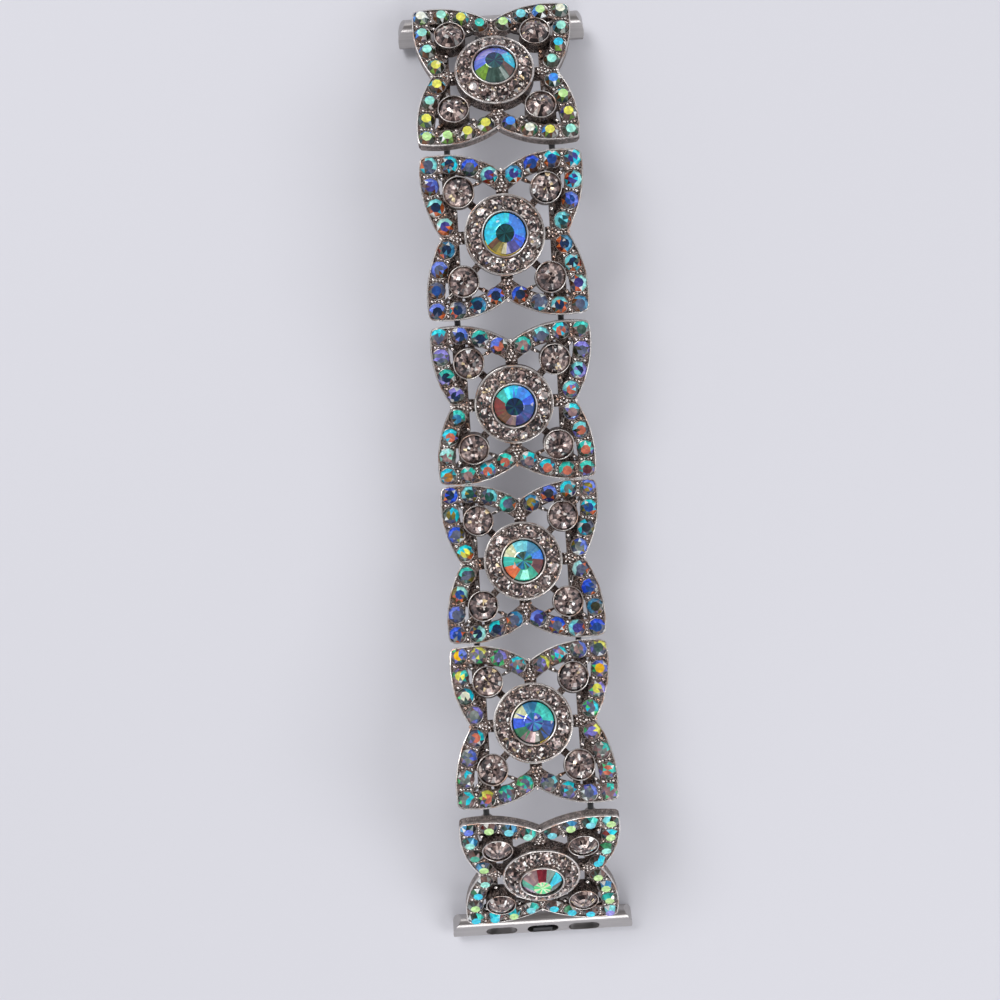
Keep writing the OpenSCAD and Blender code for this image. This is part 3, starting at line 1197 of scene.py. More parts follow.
@dataclass(frozen=True)
class StoneBorder(StoneSet):
    """The coated stones that follow a link's outline, seven on each wing."""

    cut: StoneCut = StoneCut(2.42, 0.58, 0.6, 0.64, 8)
    girdle_z: float = 1.17
    end_pair: float = 3.4
    side_pair: float = 3.2
    steps: int = 3
    lean: float = 3.0
    glint: str = "F4FAFA"
    glints: float = 0.04
    fringe: float = 40.0
    # Brightness of the painted flash and of the painted shade on the rest of the crown.
    flash_gain: float = 1.3
    shade_gain: float = 0.75
    shade_spread: float = 0.3
    seed: ClassVar[int] = 100
    title: ClassVar[str] = "coated_stones"
    node: ClassVar[str] = "rim_stones"
    slot: ClassVar[str] = "coated_stones"
    finish: ClassVar[Finish] = Finish.COATED
    # Each link's flash is a painted highlight toward its aim, and its shade palette the painted
    # shade of the crown's far side.
    plays: ClassVar[dict[int, Play]] = {
        1: Play("MMCYGWtc", "WWYYGGMa", "qucaig", "znkuvk", 95, 60, 45, 0.0),
        2: Play("NNBNTsi", "NNBNTsi", "AcCbaqsM", "nrcszuo", 70, 75, 74, 0.12),
        3: Play("PPNsSpzN", "PPHpHpdq", "ccCttMAl", "SpuzslSk", 92, 28, 56, 0.15),
        4: Play("YyBNSsxe", "BBiNkxsN", "CAcbtqM", "ssizSpyo", 80, 80, 68, 0.12),
        5: Play("OYWSspzS", "PSplSSsw", "ccCtAltY", "pSlSszpm", 62, 50, 40, 0.25),
        6: Play("MGCcMGjA", "GcCMGcAl", "qctSuCg", "kxureskz", 90, 78, 34, 0.0),
    }

    def run(self, start: float, pair: float, centre: Spot, radius: float) -> list[Spot]:
        """Steps from the corner stone to the stone beside a notch.

        Args:
            start: Angle of the corner stone about the arc's centre, from the way across the edge.
            pair: Distance between the two stones beside the notch.
            centre: The arc's centre, first along the edge and then across it.
            radius: Radius of the stones' arc.

        Returns:
            The stones' places, first along the edge and then across it.
        """
        end = math.asin((pair / 2 - centre[0]) / radius)
        turns = [start + k * (end - start) / self.steps for k in range(1, self.steps + 1)]
        return [(centre[0] + radius * math.sin(turn), centre[1] + radius * math.cos(turn))
                for turn in turns]

    def wing(self) -> list[Spot]:
        """Places the upper right wing's stones: the corner, three on the end, three on the side.

        Returns:
            The stones' places, across and along the link.
        """
        (corner_x, corner_y), (x, y), (side_x, side_y) = (SHAPE.corner, SHAPE.end_centre,
                                                          SHAPE.side_centre)
        ends = self.run(math.atan2(corner_x - x, corner_y - y), self.end_pair, (x, y),
                        SHAPE.end_arc_r - SHAPE.corner_r)
        sides = self.run(math.atan2(corner_y - side_y, corner_x - side_x), self.side_pair,
                         (side_y, side_x), SHAPE.side_arc_r - SHAPE.corner_r)
        return [SHAPE.corner, *ends, *((across, along) for along, across in sides)]

    def seats(self, rng: random.Random) -> Iterator[Seat]:
        """Gives each stone's seat, leaning a little.

        Args:
            rng: Source of each stone's lean and turn.

        Yields:
            The seats.
        """
        for quarter in Quarter:
            for place in self.wing():
                at = Matrix.Translation((*quarter.put(place), self.girdle_z))
                for axis in "XY":
                    lean = rng.uniform(-self.lean, self.lean)
                    at = at @ Matrix.Rotation(math.radians(lean), 4, axis)
                yield Seat(at, rng.uniform(0, math.tau), quarter)

    def colours(self, link: int, seat: Seat, rng: random.Random) -> FacetColours:
        """Draws a stone's three hues: its table, the painted flash of light on its crown and the
        painted shade of the crown's far side.

        Args:
            link: The link's number.
            seat: The stone's seat.
            rng: Source of the hues and of the facets' differences.

        Returns:
            What picks a facet's colour.
        """
        play = self.plays[link]
        table, flash, shade = play.draw(seat.quarter, rng)
        aim = play.aim + rng.uniform(-play.spread, play.spread)

        def colour(centre: Vector, normal: Vector) -> Colour:
            """Picks a facet's colour.

            Args:
                centre: The facet's middle.
                normal: Its normal.

            Returns:
                The colour.
            """
            group = Facet.of(normal)
            if group is Facet.TABLE:
                mixed = rng.random() < play.mixed
                return Hue.tone(rng.choice(flash + shade) if mixed else table, rng)
            if group is Facet.FOOT:
                return Hue.tone("x", rng)
            # A few crown facets are painted as white glints.
            if rng.random() < self.glints:
                return linear(self.glint)
            # The crown is painted in the flash toward the aim and in shade away from it.
            off = apart(azimuth(centre), aim)
            if off < play.half:
                return Hue.tone(flash, rng, self.flash_gain)
            near = off < play.half + self.fringe
            hues = flash + shade + play.shade[0] if near else shade * 3 + play.shade
            return Hue.tone(rng.choice(hues), rng, self.shade_gain, self.shade_spread)

        return colour


@dataclass(frozen=True)
class SmokyTones:
    """Colours of the clear smoky stones, dark to pale, and the sparks painted as glints."""

    dark: str = "171111 201818 2A2020"
    middle: str = "4E3F3D 63504D 76625D 7E6B69"
    pale: str = "96807A B09A93 CAB4AC"
    spark: str = "F6EEE8 FFFFFF F6DCAE"

    def pick(self, rng: random.Random, *weights: float) -> Colour:
        """Picks a tone, with a weight for each of dark, middle, pale and spark."""
        group = rng.choices((self.dark, self.middle, self.pale, self.spark), weights)[0]
        return shaded(linear(rng.choice(group.split())), rng.uniform(0.85, 1.15))


@dataclass(frozen=True)
class CornerStones(StoneSet):
    """The four clear stones in their cups, painted with their back facets' reflections and a lit
    side.

    Each pair of weights is for dark, middle, pale and spark tones. The first is for the pale
    wedges, or the crown's dull side in painted shade, and the second for the dark rays, or its
    bright side, a painted highlight.
    """

    cut: StoneCut = StoneCut(4.02, 0.5, 0.76, 1.4, 16, star=0.42, band=0.5)
    girdle_z: float = 1.9
    tones: SmokyTones = SmokyTones()
    foot: str = "2A2223"
    ray: float = 22.5
    heart: float = 0.5
    glow: float = 42.0
    heart_weights: tuple[Weights, Weights] = ((0.2, 0.5, 0.25, 0.05), (0.5, 0.4, 0.06, 0.04))
    table_weights: tuple[Weights, Weights] = ((0.1, 0.5, 0.34, 0.06), (0.5, 0.4, 0.1, 0.0))
    crown_weights: tuple[Weights, Weights] = ((0.3, 0.5, 0.16, 0.04), (0.1, 0.35, 0.47, 0.08))
    seed: ClassVar[int] = 200
    title: ClassVar[str] = "smoky_corner_stones"
    node: ClassVar[str] = "corner_stones"
    slot: ClassVar[str] = "clear_stones"
    finish: ClassVar[Finish] = Finish.SMOKY

    def seats(self, rng: random.Random) -> Iterator[Seat]:
        """Gives each stone's seat.

        Args:
            rng: Source of each stone's turn.

        Yields:
            The seats.
        """
        for quarter in Quarter:
            place = Matrix.Translation((*quarter.put(SHAPE.cup), self.girdle_z))
            yield Seat(place, rng.uniform(0, math.tau), quarter)

    def colours(self, link: int, seat: Seat, rng: random.Random) -> FacetColours:
        """Lays out the dark rays and pale wedges of a brilliant cut as painted reflections, with
        one side painted brighter as a highlight.

        Args:
            link: The link's number.
            seat: The stone's seat.
            rng: Source of the bright side and of the tones.

        Returns:
            What picks a facet's colour.
        """
        glint = rng.uniform(0, 360)

        def colour(centre: Vector, normal: Vector) -> Colour:
            """Picks a facet's colour.

            Args:
                centre: The facet's middle.
                normal: Its normal.

            Returns:
                The colour.
            """
            group, turn = Facet.of(normal), azimuth(centre)
            dark = int(turn / self.ray + 0.5) % 2
            if group is Facet.FOOT:
                return linear(self.foot)
            if math.hypot(centre.x, centre.y) < self.heart:
                weights = self.heart_weights[dark]
            elif group is Facet.TABLE:
                weights = self.table_weights[dark]
            else:
                weights = self.crown_weights[apart(turn, glint) < self.glow]
            return self.tones.pick(rng, *weights)

        return colour


@dataclass(frozen=True)
class HaloStones(StoneSet):
    """Twelve clear stones on the ring's slope, each leaning outward."""

    cut: StoneCut = StoneCut(2.2, 0.5, 0.46, 0.58, 8, band=0.5)
    girdle_z: float = SHAPE.halo_z - 0.02
    out: float = 4.28
    tones: SmokyTones = SmokyTones()
    weights: Weights = (0.35, 0.42, 0.18, 0.05)
    seed: ClassVar[int] = 300
    title: ClassVar[str] = "smoky_halo_stones"
    node: ClassVar[str] = "halo_stones"
    slot: ClassVar[str] = "clear_stones"
    finish: ClassVar[Finish] = Finish.HALO

    def seats(self, rng: random.Random) -> Iterator[Seat]:
        """Gives each stone's seat.

        Args:
            rng: Source of each stone's turn.

        Yields:
            The seats.
        """
        for k in range(SHAPE.halo_count):
            place = (Matrix.Rotation((k + 0.5) * math.tau / SHAPE.halo_count, 4, "Z")
                     @ Matrix.Translation((self.out, 0, self.girdle_z))
                     @ Matrix.Rotation(math.radians(SHAPE.halo_tilt), 4, "Y"))
            yield Seat(place, rng.uniform(0, math.tau))

    def colours(self, link: int, seat: Seat, rng: random.Random) -> FacetColours:
        """Picks a tone for each facet."""
        return lambda centre, normal: self.tones.pick(rng, *self.weights)


@dataclass(frozen=True)
class CentreStone(StoneSet):
    """The large coated stone in its bezel, whose crown sectors each show one hue of the coating as
    a painted reflection.

    Sweeps are the hues round the crown, tables those that the table mixes, and glows the directions
    between which a golden gleam, a painted reflection, shows at the crown's foot, which is painted
    in shade elsewhere.
    """

    cut: StoneCut = StoneCut(5.96, 0.46, 1.2, 1.95, 24, star=0.1, band=0.09)
    girdle_z: float = 2.93
    gleam: str = "F0D458"
    blur: float = 0.35
    table_spread: float = 0.25
    base_shade_gain: float = 0.6
    seed: ClassVar[int] = 400
    title: ClassVar[str] = "coated_centre_stone"
    node: ClassVar[str] = "centre_stone"
    slot: ClassVar[str] = "coated_stones"
    finish: ClassVar[Finish] = Finish.COATED
    sweeps: ClassVar[dict[int, str]] = {
        1: "cAllAvzzu", 2: "aacccnyib", 3: "bactrnpiB", 4: "aqCwtojjd", 5: "ttqwbgpkB",
        6: "ceRpjLxzk"}
    tables: ClassVar[dict[int, str]] = {1: "TN", 2: "ET", 3: "NT", 4: "zqj", 5: "iAq", 6: "mmw"}
    glows: ClassVar[dict[int, Span]] = {2: (195.0, 315.0), 5: (285.0, 315.0)}

    def seats(self, rng: random.Random) -> Iterator[Seat]:
        """Gives the stone's seat."""
        yield Seat(Matrix.Translation((0, 0, self.girdle_z)))

    def colours(self, link: int, seat: Seat, rng: random.Random) -> FacetColours:
        """Sweeps the hues round the crown and mixes the table's wedges.

        Args:
            link: The link's number.
            seat: The stone's seat.
            rng: Source of the facets' differences.

        Returns:
            What picks a facet's colour.
        """
        start, end = self.glows.get(link, (0.0, 0.0))
        sweep, table = self.sweeps[link], self.tables[link]

        def colour(centre: Vector, normal: Vector) -> Colour:
            """Picks a facet's colour.

            Args:
                centre: The facet's middle.
                normal: Its normal.

            Returns:
                The colour.
            """
            group, turn = Facet.of(normal), azimuth(centre)
            if group is Facet.FOOT:
                return Hue.tone("x", rng)
            if group is Facet.TABLE:
                return Hue.tone(rng.choice(table), rng, spread=self.table_spread)
            # The crown's foot band: a painted golden reflection between the glows, painted shade
            # elsewhere.
            if centre.z < self.cut.crown * self.cut.band:
                if start <= turn < end:
                    return linear(self.gleam)
                return Hue.tone("E", rng, self.base_shade_gain)
            sector = int(turn * len(sweep) / 360 + rng.uniform(-self.blur, self.blur))
            return Hue.tone(sweep[sector % len(sweep)], rng)

        return colour


# Metalwork


@dataclass(frozen=True)
class Roll:
    """One round rolled rim: its radius, its wire's radius and flatness, its segments and sides."""

    radius: float
    wire: float
    squash: float
    steps: int
    sides: int = 8
    hammering: float = 0.12
    # Level of painted shade at the rim's foot.
    painted_shade_foot_level: float = 0.2

    def model(self, *place: float) -> bpy.types.Object:
        """Rolls the rim, lightly hammered.

        Args:
            *place: Where the rim's middle is.

        Returns:
            The rim, in the link's millimetres.
        """
        bpy.ops.mesh.primitive_torus_add(
            major_radius=self.radius, minor_radius=self.wire, major_segments=self.steps,
            minor_segments=self.sides)
        rim = bpy.context.object
        rng = random.Random(round(self.radius * 100))
        reach = 360 / self.steps
        with editing(rim):
            choose_all()
            bpy.ops.transform.resize(value=(1, 1, self.squash), center_override=(0, 0, 0))
            for _ in range(self.steps // 3):
                side = azimuth(Vector((rng.uniform(-1, 1), rng.uniform(-1, 1), 0)))
                choose(rim, lambda face: abs(azimuth(face.calc_center_median()) - side) < reach)
                dent = rng.uniform(-self.hammering, self.hammering) * self.wire
                bpy.ops.transform.translate(value=(0, 0, dent))
        top = self.wire * self.squash
        # Painted highlight on the rim's top and painted shade at its foot, darker all over the
        # flatter a rim is.
        mark(rim.data, lambda co: self.squash * (
            self.painted_shade_foot_level + (1 - self.painted_shade_foot_level) * clamped(co.z / top + 0.6)))
        rim.data.transform(Matrix.Translation(place))
        return rim


@dataclass(frozen=True)
class Rims:
    """The bright rolled edges: the outline's lip, the ring, the bezel, the cups and the collets."""

    border: StoneBorder
    bezel: Roll = Roll(SHAPE.bezel_r - SHAPE.bezel_wall / 2, 0.085, 1.0, 64)
    ring: Roll = Roll(SHAPE.ring_r - 0.03, 0.075, 0.9, 80)
    cup: Roll = Roll(SHAPE.cup_r - SHAPE.cup_wall / 2, 0.055, 0.8, 40)
    collet: Roll = Roll(1.23, 0.05, 0.6, 16, 4)
    collet_z: float = SHAPE.border_z + 0.03
    lip_z: float = SHAPE.border_z + SHAPE.lip_h
    lip_thick: float = 0.1
    lip_round: float = 0.035
    lip_inset: float = 0.996
    merge: float = 0.002
    crease: float = 50.0

    def outline(self, casting: bpy.types.Object, pose: Pose) -> bpy.types.Object:
        """Rounds off the lip that runs along the outline, from a merged copy of the casting.

        Args:
            casting: The casting's CAD node.
            pose: Where its link lies.

        Returns:
            The lip's roll, in the link's millimetres.
        """
        lip = copy_of(casting, pose.matrix().inverted())
        with editing(lip):
            choose_all()
            bpy.ops.mesh.remove_doubles(threshold=self.merge)
            clear_choice()
            choose(lip, lambda face: face.normal.z < 0.9
                   or abs(face.calc_center_median().z - self.lip_z) > 0.01)
            bpy.ops.mesh.delete(type="FACE")
            choose_all()
            bpy.ops.mesh.dissolve_limited(angle_limit=math.radians(0.5))
            bpy.ops.transform.resize(value=(self.lip_inset, self.lip_inset, 1),
                                     center_override=(0, 0, 0))
        apply_modifier(lip, "SOLIDIFY", thickness=self.lip_thick, offset=0.0)
        soften(lip, self.lip_round, self.crease)
        # Painted highlight on the lip's top, painted shade on its sides.
        mark(lip.data, lambda co: 1.0 if co.z > self.lip_z - 0.02 else 0.4)
        return lip

    def build(self, link: int, pose: Pose, casting: bpy.types.Object) -> bpy.types.Object:
        """Makes all the rims of one link.

        Args:
            link: The link's number.
            pose: Where the link lies.
            casting: The casting's CAD node.

        Returns:
            The rims as one piece.
        """
        rolls = [self.outline(casting, pose), self.bezel.model(0, 0, SHAPE.bezel_z),
                 self.ring.model(0, 0, SHAPE.ring_z)]
        for quarter in Quarter:
            rolls.append(self.cup.model(*quarter.put(SHAPE.cup), SHAPE.cup_z))
            rolls += [self.collet.model(*quarter.put(place), self.collet_z)
                      for place in self.border.wing()]
        rims = joined(rolls, f"link_{link}_rims")
        rims.data.transform(pose.matrix())
        pick(rims)
        bpy.ops.object.shade_smooth_by_angle(angle=math.radians(self.crease))
        return rims


@dataclass(frozen=True)
class Beading:
    """The prong beads: between the border's stones, on the bridges and on both sides of the halo.

    Prongs are the beads between two stones, each with its way off the line between them and its
    radius. A cluster's beads have their way out, their way aside and their radius, and the halo's
    beads their distance from the middle and their radius.
    """

    border: StoneBorder
    prongs: tuple[Spot, ...] = ((0.7, 0.24), (-0.7, 0.24), (0.26, 0.14), (-0.26, 0.14))
    cluster: tuple[tuple[float, float, float], ...] = (
        (6.15, 0.25, 0.24), (6.1, -0.4, 0.2), (6.02, 0.74, 0.17), (6.62, 0.05, 0.2),
        (6.6, 0.5, 0.15), (6.68, -0.5, 0.17), (7.1, 0.3, 0.16), (7.15, -0.2, 0.18),
        (7.6, 0.08, 0.16))
    rows: tuple[Spot, ...] = ((5.08, 0.24), (3.5, 0.17))
    stems: tuple[Spot, ...] = ((3.37, 7.3), (6.67, 3.35), (8.2, 8.1))
    stem_bead: float = 0.31
    stem_size: Spot = (0.3, 0.34)
    stem_ends: tuple[float, float, float] = (1.5, 0.75, 0.75)
    stem_round: float = 0.06
    foot: float = 1.12
    sizes: Span = (0.85, 1.12)
    breadths: Span = (0.9, 1.1)
    heights: Span = (0.75, 0.95)
    seed: int = 500

    def pair(self, a: Spot, b: Spot) -> list[Bead]:
        """Places the prong beads between two stones.

        Args:
            a: One stone's place.
            b: The other stone's place.

        Returns:
            The beads.
        """
        middle = Vector(((a[0] + b[0]) / 2, (a[1] + b[1]) / 2))
        across = Vector((a[1] - b[1], b[0] - a[0])).normalized()
        return [(*(middle + across * off), SHAPE.border_z, radius) for off, radius in self.prongs]

    def between(self) -> list[Bead]:
        """Places the beads between neighbouring border stones.

        Returns:
            The beads, each across, along and up, with its radius.
        """
        beads = []
        corner, *rest = self.border.wing()
        ends, sides = rest[:self.border.steps], rest[self.border.steps:]
        for quarter in Quarter:
            for run in ([corner, *ends], [corner, *sides]):
                for a, b in zip(run, run[1:]):
                    beads += self.pair(quarter.put(a), quarter.put(b))
        (end_x, end_y), (side_x, side_y) = ends[-1], sides[-1]
        for sign in (-1, 1):
            beads += self.pair((end_x, sign * end_y), (-end_x, sign * end_y))
            beads += self.pair((sign * side_x, side_y), (sign * side_x, -side_y))
        return beads

    def bridges(self) -> list[Bead]:
        """Places the clusters on the four bridges and the single beads on the stems.

        Returns:
            The beads, each across, along and up, with its radius.
        """
        beads = []
        for turn in range(4):
            spin = Matrix.Rotation(turn * math.pi / 2, 2)
            beads += [(*(spin @ Vector((out, side))), SHAPE.border_z, radius)
                      for out, side, radius in self.cluster]
        for quarter in Quarter:
            beads += [(*quarter.put(place), SHAPE.web_z + 0.1, self.stem_bead)
                      for place in self.stems]
        return beads

    def halo(self) -> list[Bead]:
        """Places the beads between the halo's stones, on both sides of them.

        Returns:
            The beads, each across, along and up, with its radius.
        """
        slope = math.tan(math.radians(SHAPE.halo_tilt))
        return [(radius * math.cos(k * math.tau / SHAPE.halo_count),
                 radius * math.sin(k * math.tau / SHAPE.halo_count),
                 SHAPE.halo_z + (SHAPE.halo_r - radius) * slope, size)
                for k in range(SHAPE.halo_count) for radius, size in self.rows]

    def pattern(self) -> bpy.types.Object:
        """Raises one bead from a low ball, drawn out at its foot.

        Returns:
            The bead, with a radius of 1.
        """
        bpy.ops.mesh.primitive_uv_sphere_add(segments=8, ring_count=6, radius=1)
        bead = bpy.context.object
        with editing(bead):
            choose(bead, lambda face: face.calc_center_median().z < -0.3)
            bpy.ops.transform.resize(value=(self.foot, self.foot, 1), center_override=(0, 0, 0))
            choose_all()
            bpy.ops.mesh.faces_shade_smooth()
        # Painted highlight on the bead's top, painted shade at its foot.
        mark(bead.data, lambda co: clamped(co.z * 1.4 + 0.15))
        return bead

    def stem(self, place: Spot) -> bpy.types.Object:
        """Draws one stem out from the cup's wall, under its bead and into the border.

        Args:
            place: The bead's place on the upper right wing.

        Returns:
            The stem, waisted at its ends, in the link's millimetres.
        """
        way = Vector(place) - Vector(SHAPE.cup)
        broad, reach, narrow = self.stem_ends
        bpy.ops.mesh.primitive_cube_add(size=1, location=(SHAPE.cup_r, 0, SHAPE.web_z / 2 + 0.1))
        stem = bpy.context.object
        bpy.ops.object.transform_apply(location=True, rotation=True, scale=True)
        with editing(stem):
            choose_all()
            bpy.ops.transform.resize(value=(*self.stem_size, SHAPE.web_z - 0.2),
                                     center_override=(SHAPE.cup_r, 0, 0.5))
            for length, width in ((way.length - SHAPE.cup_r, broad), (reach, narrow)):
                choose(stem, lambda face: face.normal.x > 0.9)
                extrude(length, 0, 0)
                bpy.ops.transform.resize(value=(1, width, 1))
        soften(stem, self.stem_round, 40)
        # Painted shade on the stem, lighter toward its top.
        mark(stem.data, lambda co: 0.15 + 0.5 * max(0.0, co.z / SHAPE.web_z - 0.5))
        stem.data.transform(Matrix.Translation((*SHAPE.cup, 0))
                            @ Matrix.Rotation(math.atan2(way.y, way.x), 4, "Z"))
        return stem

    def build(self, link: int, pose: Pose) -> bpy.types.Object:
        """Makes all the beads and stems of one link.

        Args:
            link: The link's number.
            pose: Where the link lies.

        Returns:
            The beads and stems as one piece.
        """
        rng = random.Random(self.seed + link)
        pattern = self.pattern()
        beads = []
        for x, y, z, radius in self.between() + self.bridges() + self.halo():
            size = radius * rng.uniform(*self.sizes)
            shape = Matrix.Diagonal((size, size * rng.uniform(*self.breadths),
                                     size * rng.uniform(*self.heights), 1))
            beads.append(copy_of(pattern, pose.matrix() @ Matrix.Translation((x, y, z)) @ shape))
        discard(pattern)
        for place in self.stems:
            stem = self.stem(place)
            beads += [copy_of(stem, pose.matrix() @ Matrix.Diagonal((*quarter.value, 1, 1)))
                      for quarter in Quarter]
            discard(stem)
        whole = joined(beads, f"link_{link}_beads")
        turn_out(whole, smooth=False)
        return whole


# Elastic cords


@dataclass(frozen=True)
class Cords:
    """The pair of covered elastic cords, modelled length by length.

    Reach is how far on each side of a gap's middle a cord bends, tail and mouth how far from there
    and from a link's middle a length starts, and split how far from a link's middle lengths meet.
    """

    radius: float = 0.425
    round_steps: int = 14
    reach: float = 0.65
    tail: float = 9.59
    split: float = 2.0
    mouth: float = 10.94
    tail_steps: int = 6
    bend_steps: int = 12
    link_steps: int = 10

    def tube(self, path: Sequence[Vector], name: str) -> bpy.types.Object:
        """Draws a tube with a UV map that runs around and along it.

        Args:
            path: Points of the middle line, in the plane of the band's length.
            name: Name of the piece.

        Returns:
            The closed tube.
        """
        steps, last, side = self.round_steps, len(path) - 1, Vector((1, 0, 0))
        points, faces, places, runs = [], [], [], [0.0]
        for k, point in enumerate(path):
            lift = side.cross(path[min(k + 1, last)] - path[max(k - 1, 0)]).normalized()
            points += [point + (side * math.cos(turn) + lift * math.sin(turn)) * self.radius
                       for turn in (s * math.tau / steps for s in range(steps))]
        for k in range(last):
            runs.append(runs[k] + (path[k + 1] - path[k]).length)
            for s in range(steps):
                a, b = k * steps + s, k * steps + (s + 1) % steps
                faces.append((a, b, b + steps, a + steps))
                places.append([((s + around) / steps, runs[k + ahead])
                               for around, ahead in ((0, 0), (1, 0), (1, 1), (0, 1))])
        faces += [tuple(range(steps - 1, -1, -1)), tuple(last * steps + s for s in range(steps))]
        places += [[(0.0, 0.0)] * steps, [(0.0, runs[-1])] * steps]
        mesh = bpy.data.meshes.new(name)
        mesh.from_pydata(points, [], faces)
        layer = mesh.uv_layers.new(name="UVMap")
        for face, spots in zip(mesh.polygons, places):
            for loop, spot in zip(face.loop_indices, spots):
                layer.data[loop].uv = spot
        cord = shown(name, mesh)
        turn_out(cord, smooth=True)
        return cord

    def line(self, start: float, end: float, steps: int, up: float = 0.0) -> list[Vector]:
        """Lays out a straight length of cord."""
        return [Vector((0, start + (end - start) * k / steps, up)) for k in range(steps + 1)]

    def both(self, path: Sequence[Vector], name: str, place: Matrix) -> bpy.types.Object:
        """Makes the same length of both cords as one piece."""
        return joined([self.at_cord(self.tube(path, name), side, 0.0, place) for side in (-1, 1)],
                      name)

    def at_cord(self, piece: bpy.types.Object, side: int, along: float,
                place: Matrix) -> bpy.types.Object:
        """Moves a piece onto the left or the right cord."""
        piece.data.transform(place @ Matrix.Translation((side * SHAPE.cord_x, along, 0)))
        return piece

    def bend(self, gap: Gap) -> list[Vector]:
        """Lays out the cord across a gap: its tail in the inner tunnel, then the bend.

        Args:
            gap: The gap.

        Returns:
            Points of the middle line.
        """
        curl = math.radians(abs(gap.curl))
        radius = self.reach / math.tan(curl / 2)
        turns = [curl * k / self.bend_steps for k in range(1, self.bend_steps + 1)]
        return self.line(-self.tail, -self.reach, self.tail_steps) + [
            Vector((0, -self.reach + radius * math.sin(turn),
                    gap.down * radius * (1 - math.cos(turn)))) for turn in turns]

    def build_gap(self, gap: Gap) -> bpy.types.Object:
        """Makes the cords across one gap, laid in their rest bend from the inner piece toward the
        outer piece.

        Args:
            gap: The gap.

        Returns:
            The piece.
        """
        place = gap.matrix()
        piece = self.both(self.bend(gap), f"gap_{gap.name}_covered_cords", place)
        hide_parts(f"elastic_{gap.name}")
        curl = math.radians(abs(gap.curl))
        outward = Vector((0, math.cos(curl), gap.down * math.sin(curl)))
        place @ Vector((0, -self.reach, 0))
        place @ (outward * self.reach)
        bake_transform(piece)
        return piece

    def build_link(self, link: int, pose: Pose) -> bpy.types.Object:
        """Makes the cords that stay in one link's tunnels.

        Args:
            link: The link's number.
            pose: Where the link lies.

        Returns:
            The piece.
        """
        start = -self.mouth if link < ROOT_LINK else -self.split
        end = self.mouth if link > ROOT_LINK else self.split
        path = self.line(start, end, self.link_steps, SHAPE.cord_z)
        piece = self.both(path, f"link_{link}_covered_cords", pose.matrix())
        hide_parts(f"link_{link}_cords")
        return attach(piece, f"link_{link}")


@dataclass(frozen=True)
class Knots:
    """The knot at each cord's end, drawn into the rail's side slot."""

    cords: Cords
    slot_y: float = 3.4
    start: float = 0.68
    size: float = 0.125
    wire: float = 0.26
    steps: int = 40
    stem_steps: int = 8

    def loop(self) -> list[Vector]:
        """Lays out the knot's own line, an overhand knot.

        Returns:
            Points of the line.
        """
        turns = [k * math.tau / self.steps for k in range(self.steps + 1)]
        return [Vector((math.sin(t) + 2 * math.sin(2 * t), math.cos(t) - 2 * math.cos(2 * t),
                        -math.sin(3 * t))) * self.size for t in turns]

    def build(self, end: str, place: Matrix) -> bpy.types.Object:
        """Ties both knots of one rail.

        Args:
            end: "top" or "bottom".
            place: The rail's matrix.

        Returns:
            The cords' last length with their knots.
        """
        path = self.cords.line(self.start, self.slot_y, self.stem_steps)
        pieces = [self.cords.both(path, "stem", place)]
        knot = Cords(radius=self.wire, round_steps=8)
        pieces += [knot.at_cord(knot.tube(self.loop(), "knot"), side, self.slot_y, place)
                   for side in (-1, 1)]
        knots = joined(pieces, f"{end}_tied_knots")
        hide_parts(f"{end}_cord_knots")
        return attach(knots, f"{end}_rail")


# The band


@dataclass(frozen=True)
class Link:
    """One cast link with everything that is set in it."""

    number: int
    pose: Pose
    border: StoneBorder = StoneBorder()
    corners: CornerStones = CornerStones()
    halo: HaloStones = HaloStones()
    centre: CentreStone = CentreStone()

    def add(self, piece: bpy.types.Object, finish: bpy.types.Material, slot: str) -> None:
        """Gives a piece its finish and body.

        Args:
            piece: The piece.
            finish: Its material.
            slot: Not used.
        """
        dress(piece, finish)
        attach(piece, f"link_{self.number}")

    def build(self, finishes: Finishes) -> None:
        """Builds and dresses the link.

        Args:
            finishes: The materials.
        """
        number, pose, name = self.number, self.pose, f"link_{self.number}"
        casting = frame["nodes"][f"{name}_casting"]
        dress(casting, CastSilver().make(f"cast_silver_{number}", pose))
        rims = Rims(self.border).build(number, pose, casting)
        self.add(rims, finishes[Finish.RIMS], "cast_silver")
        beads = Beading(self.border).build(number, pose)
        self.add(beads, finishes[Finish.BEADS], "cast_silver")
        for stones in (self.border, self.corners, self.halo, self.centre):
            piece = stones.build(number, pose)
            self.add(piece, finishes[stones.finish], stones.slot)
            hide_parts(f"{name}_{stones.node}")


@dataclass(frozen=True)
class EndRail:
    """One slide-in rail with its catch and leaf spring."""

    end: str

    def build(self, finishes: Finishes) -> None:
        """Dresses the rail's own solids.

        Args:
            finishes: The materials.
        """
        for part, finish in (("rail", Finish.RAIL), ("catch", Finish.NYLON),
                             ("catch_spring", Finish.SPRING)):
            dress(frame["nodes"][f"{self.end}_{part}"], finishes[finish])


@dataclass(frozen=True)
class Lamp:
    """One soft lamp that points at the band, in metres and watts."""

    name: str
    place: tuple[float, float, float]
    size: float
    power: float

    def hang(self) -> None:
        """Puts the lamp in the scene."""
        data = bpy.data.lights.new(self.name, "AREA")
        data.size = self.size
        data.energy = self.power
        aim = Vector((0, 0, 0.01)) - Vector(self.place)
        turn = aim.to_track_quat("-Z", "Y").to_matrix().to_4x4()
        shown(self.name, data).matrix_world = Matrix.Translation(self.place) @ turn


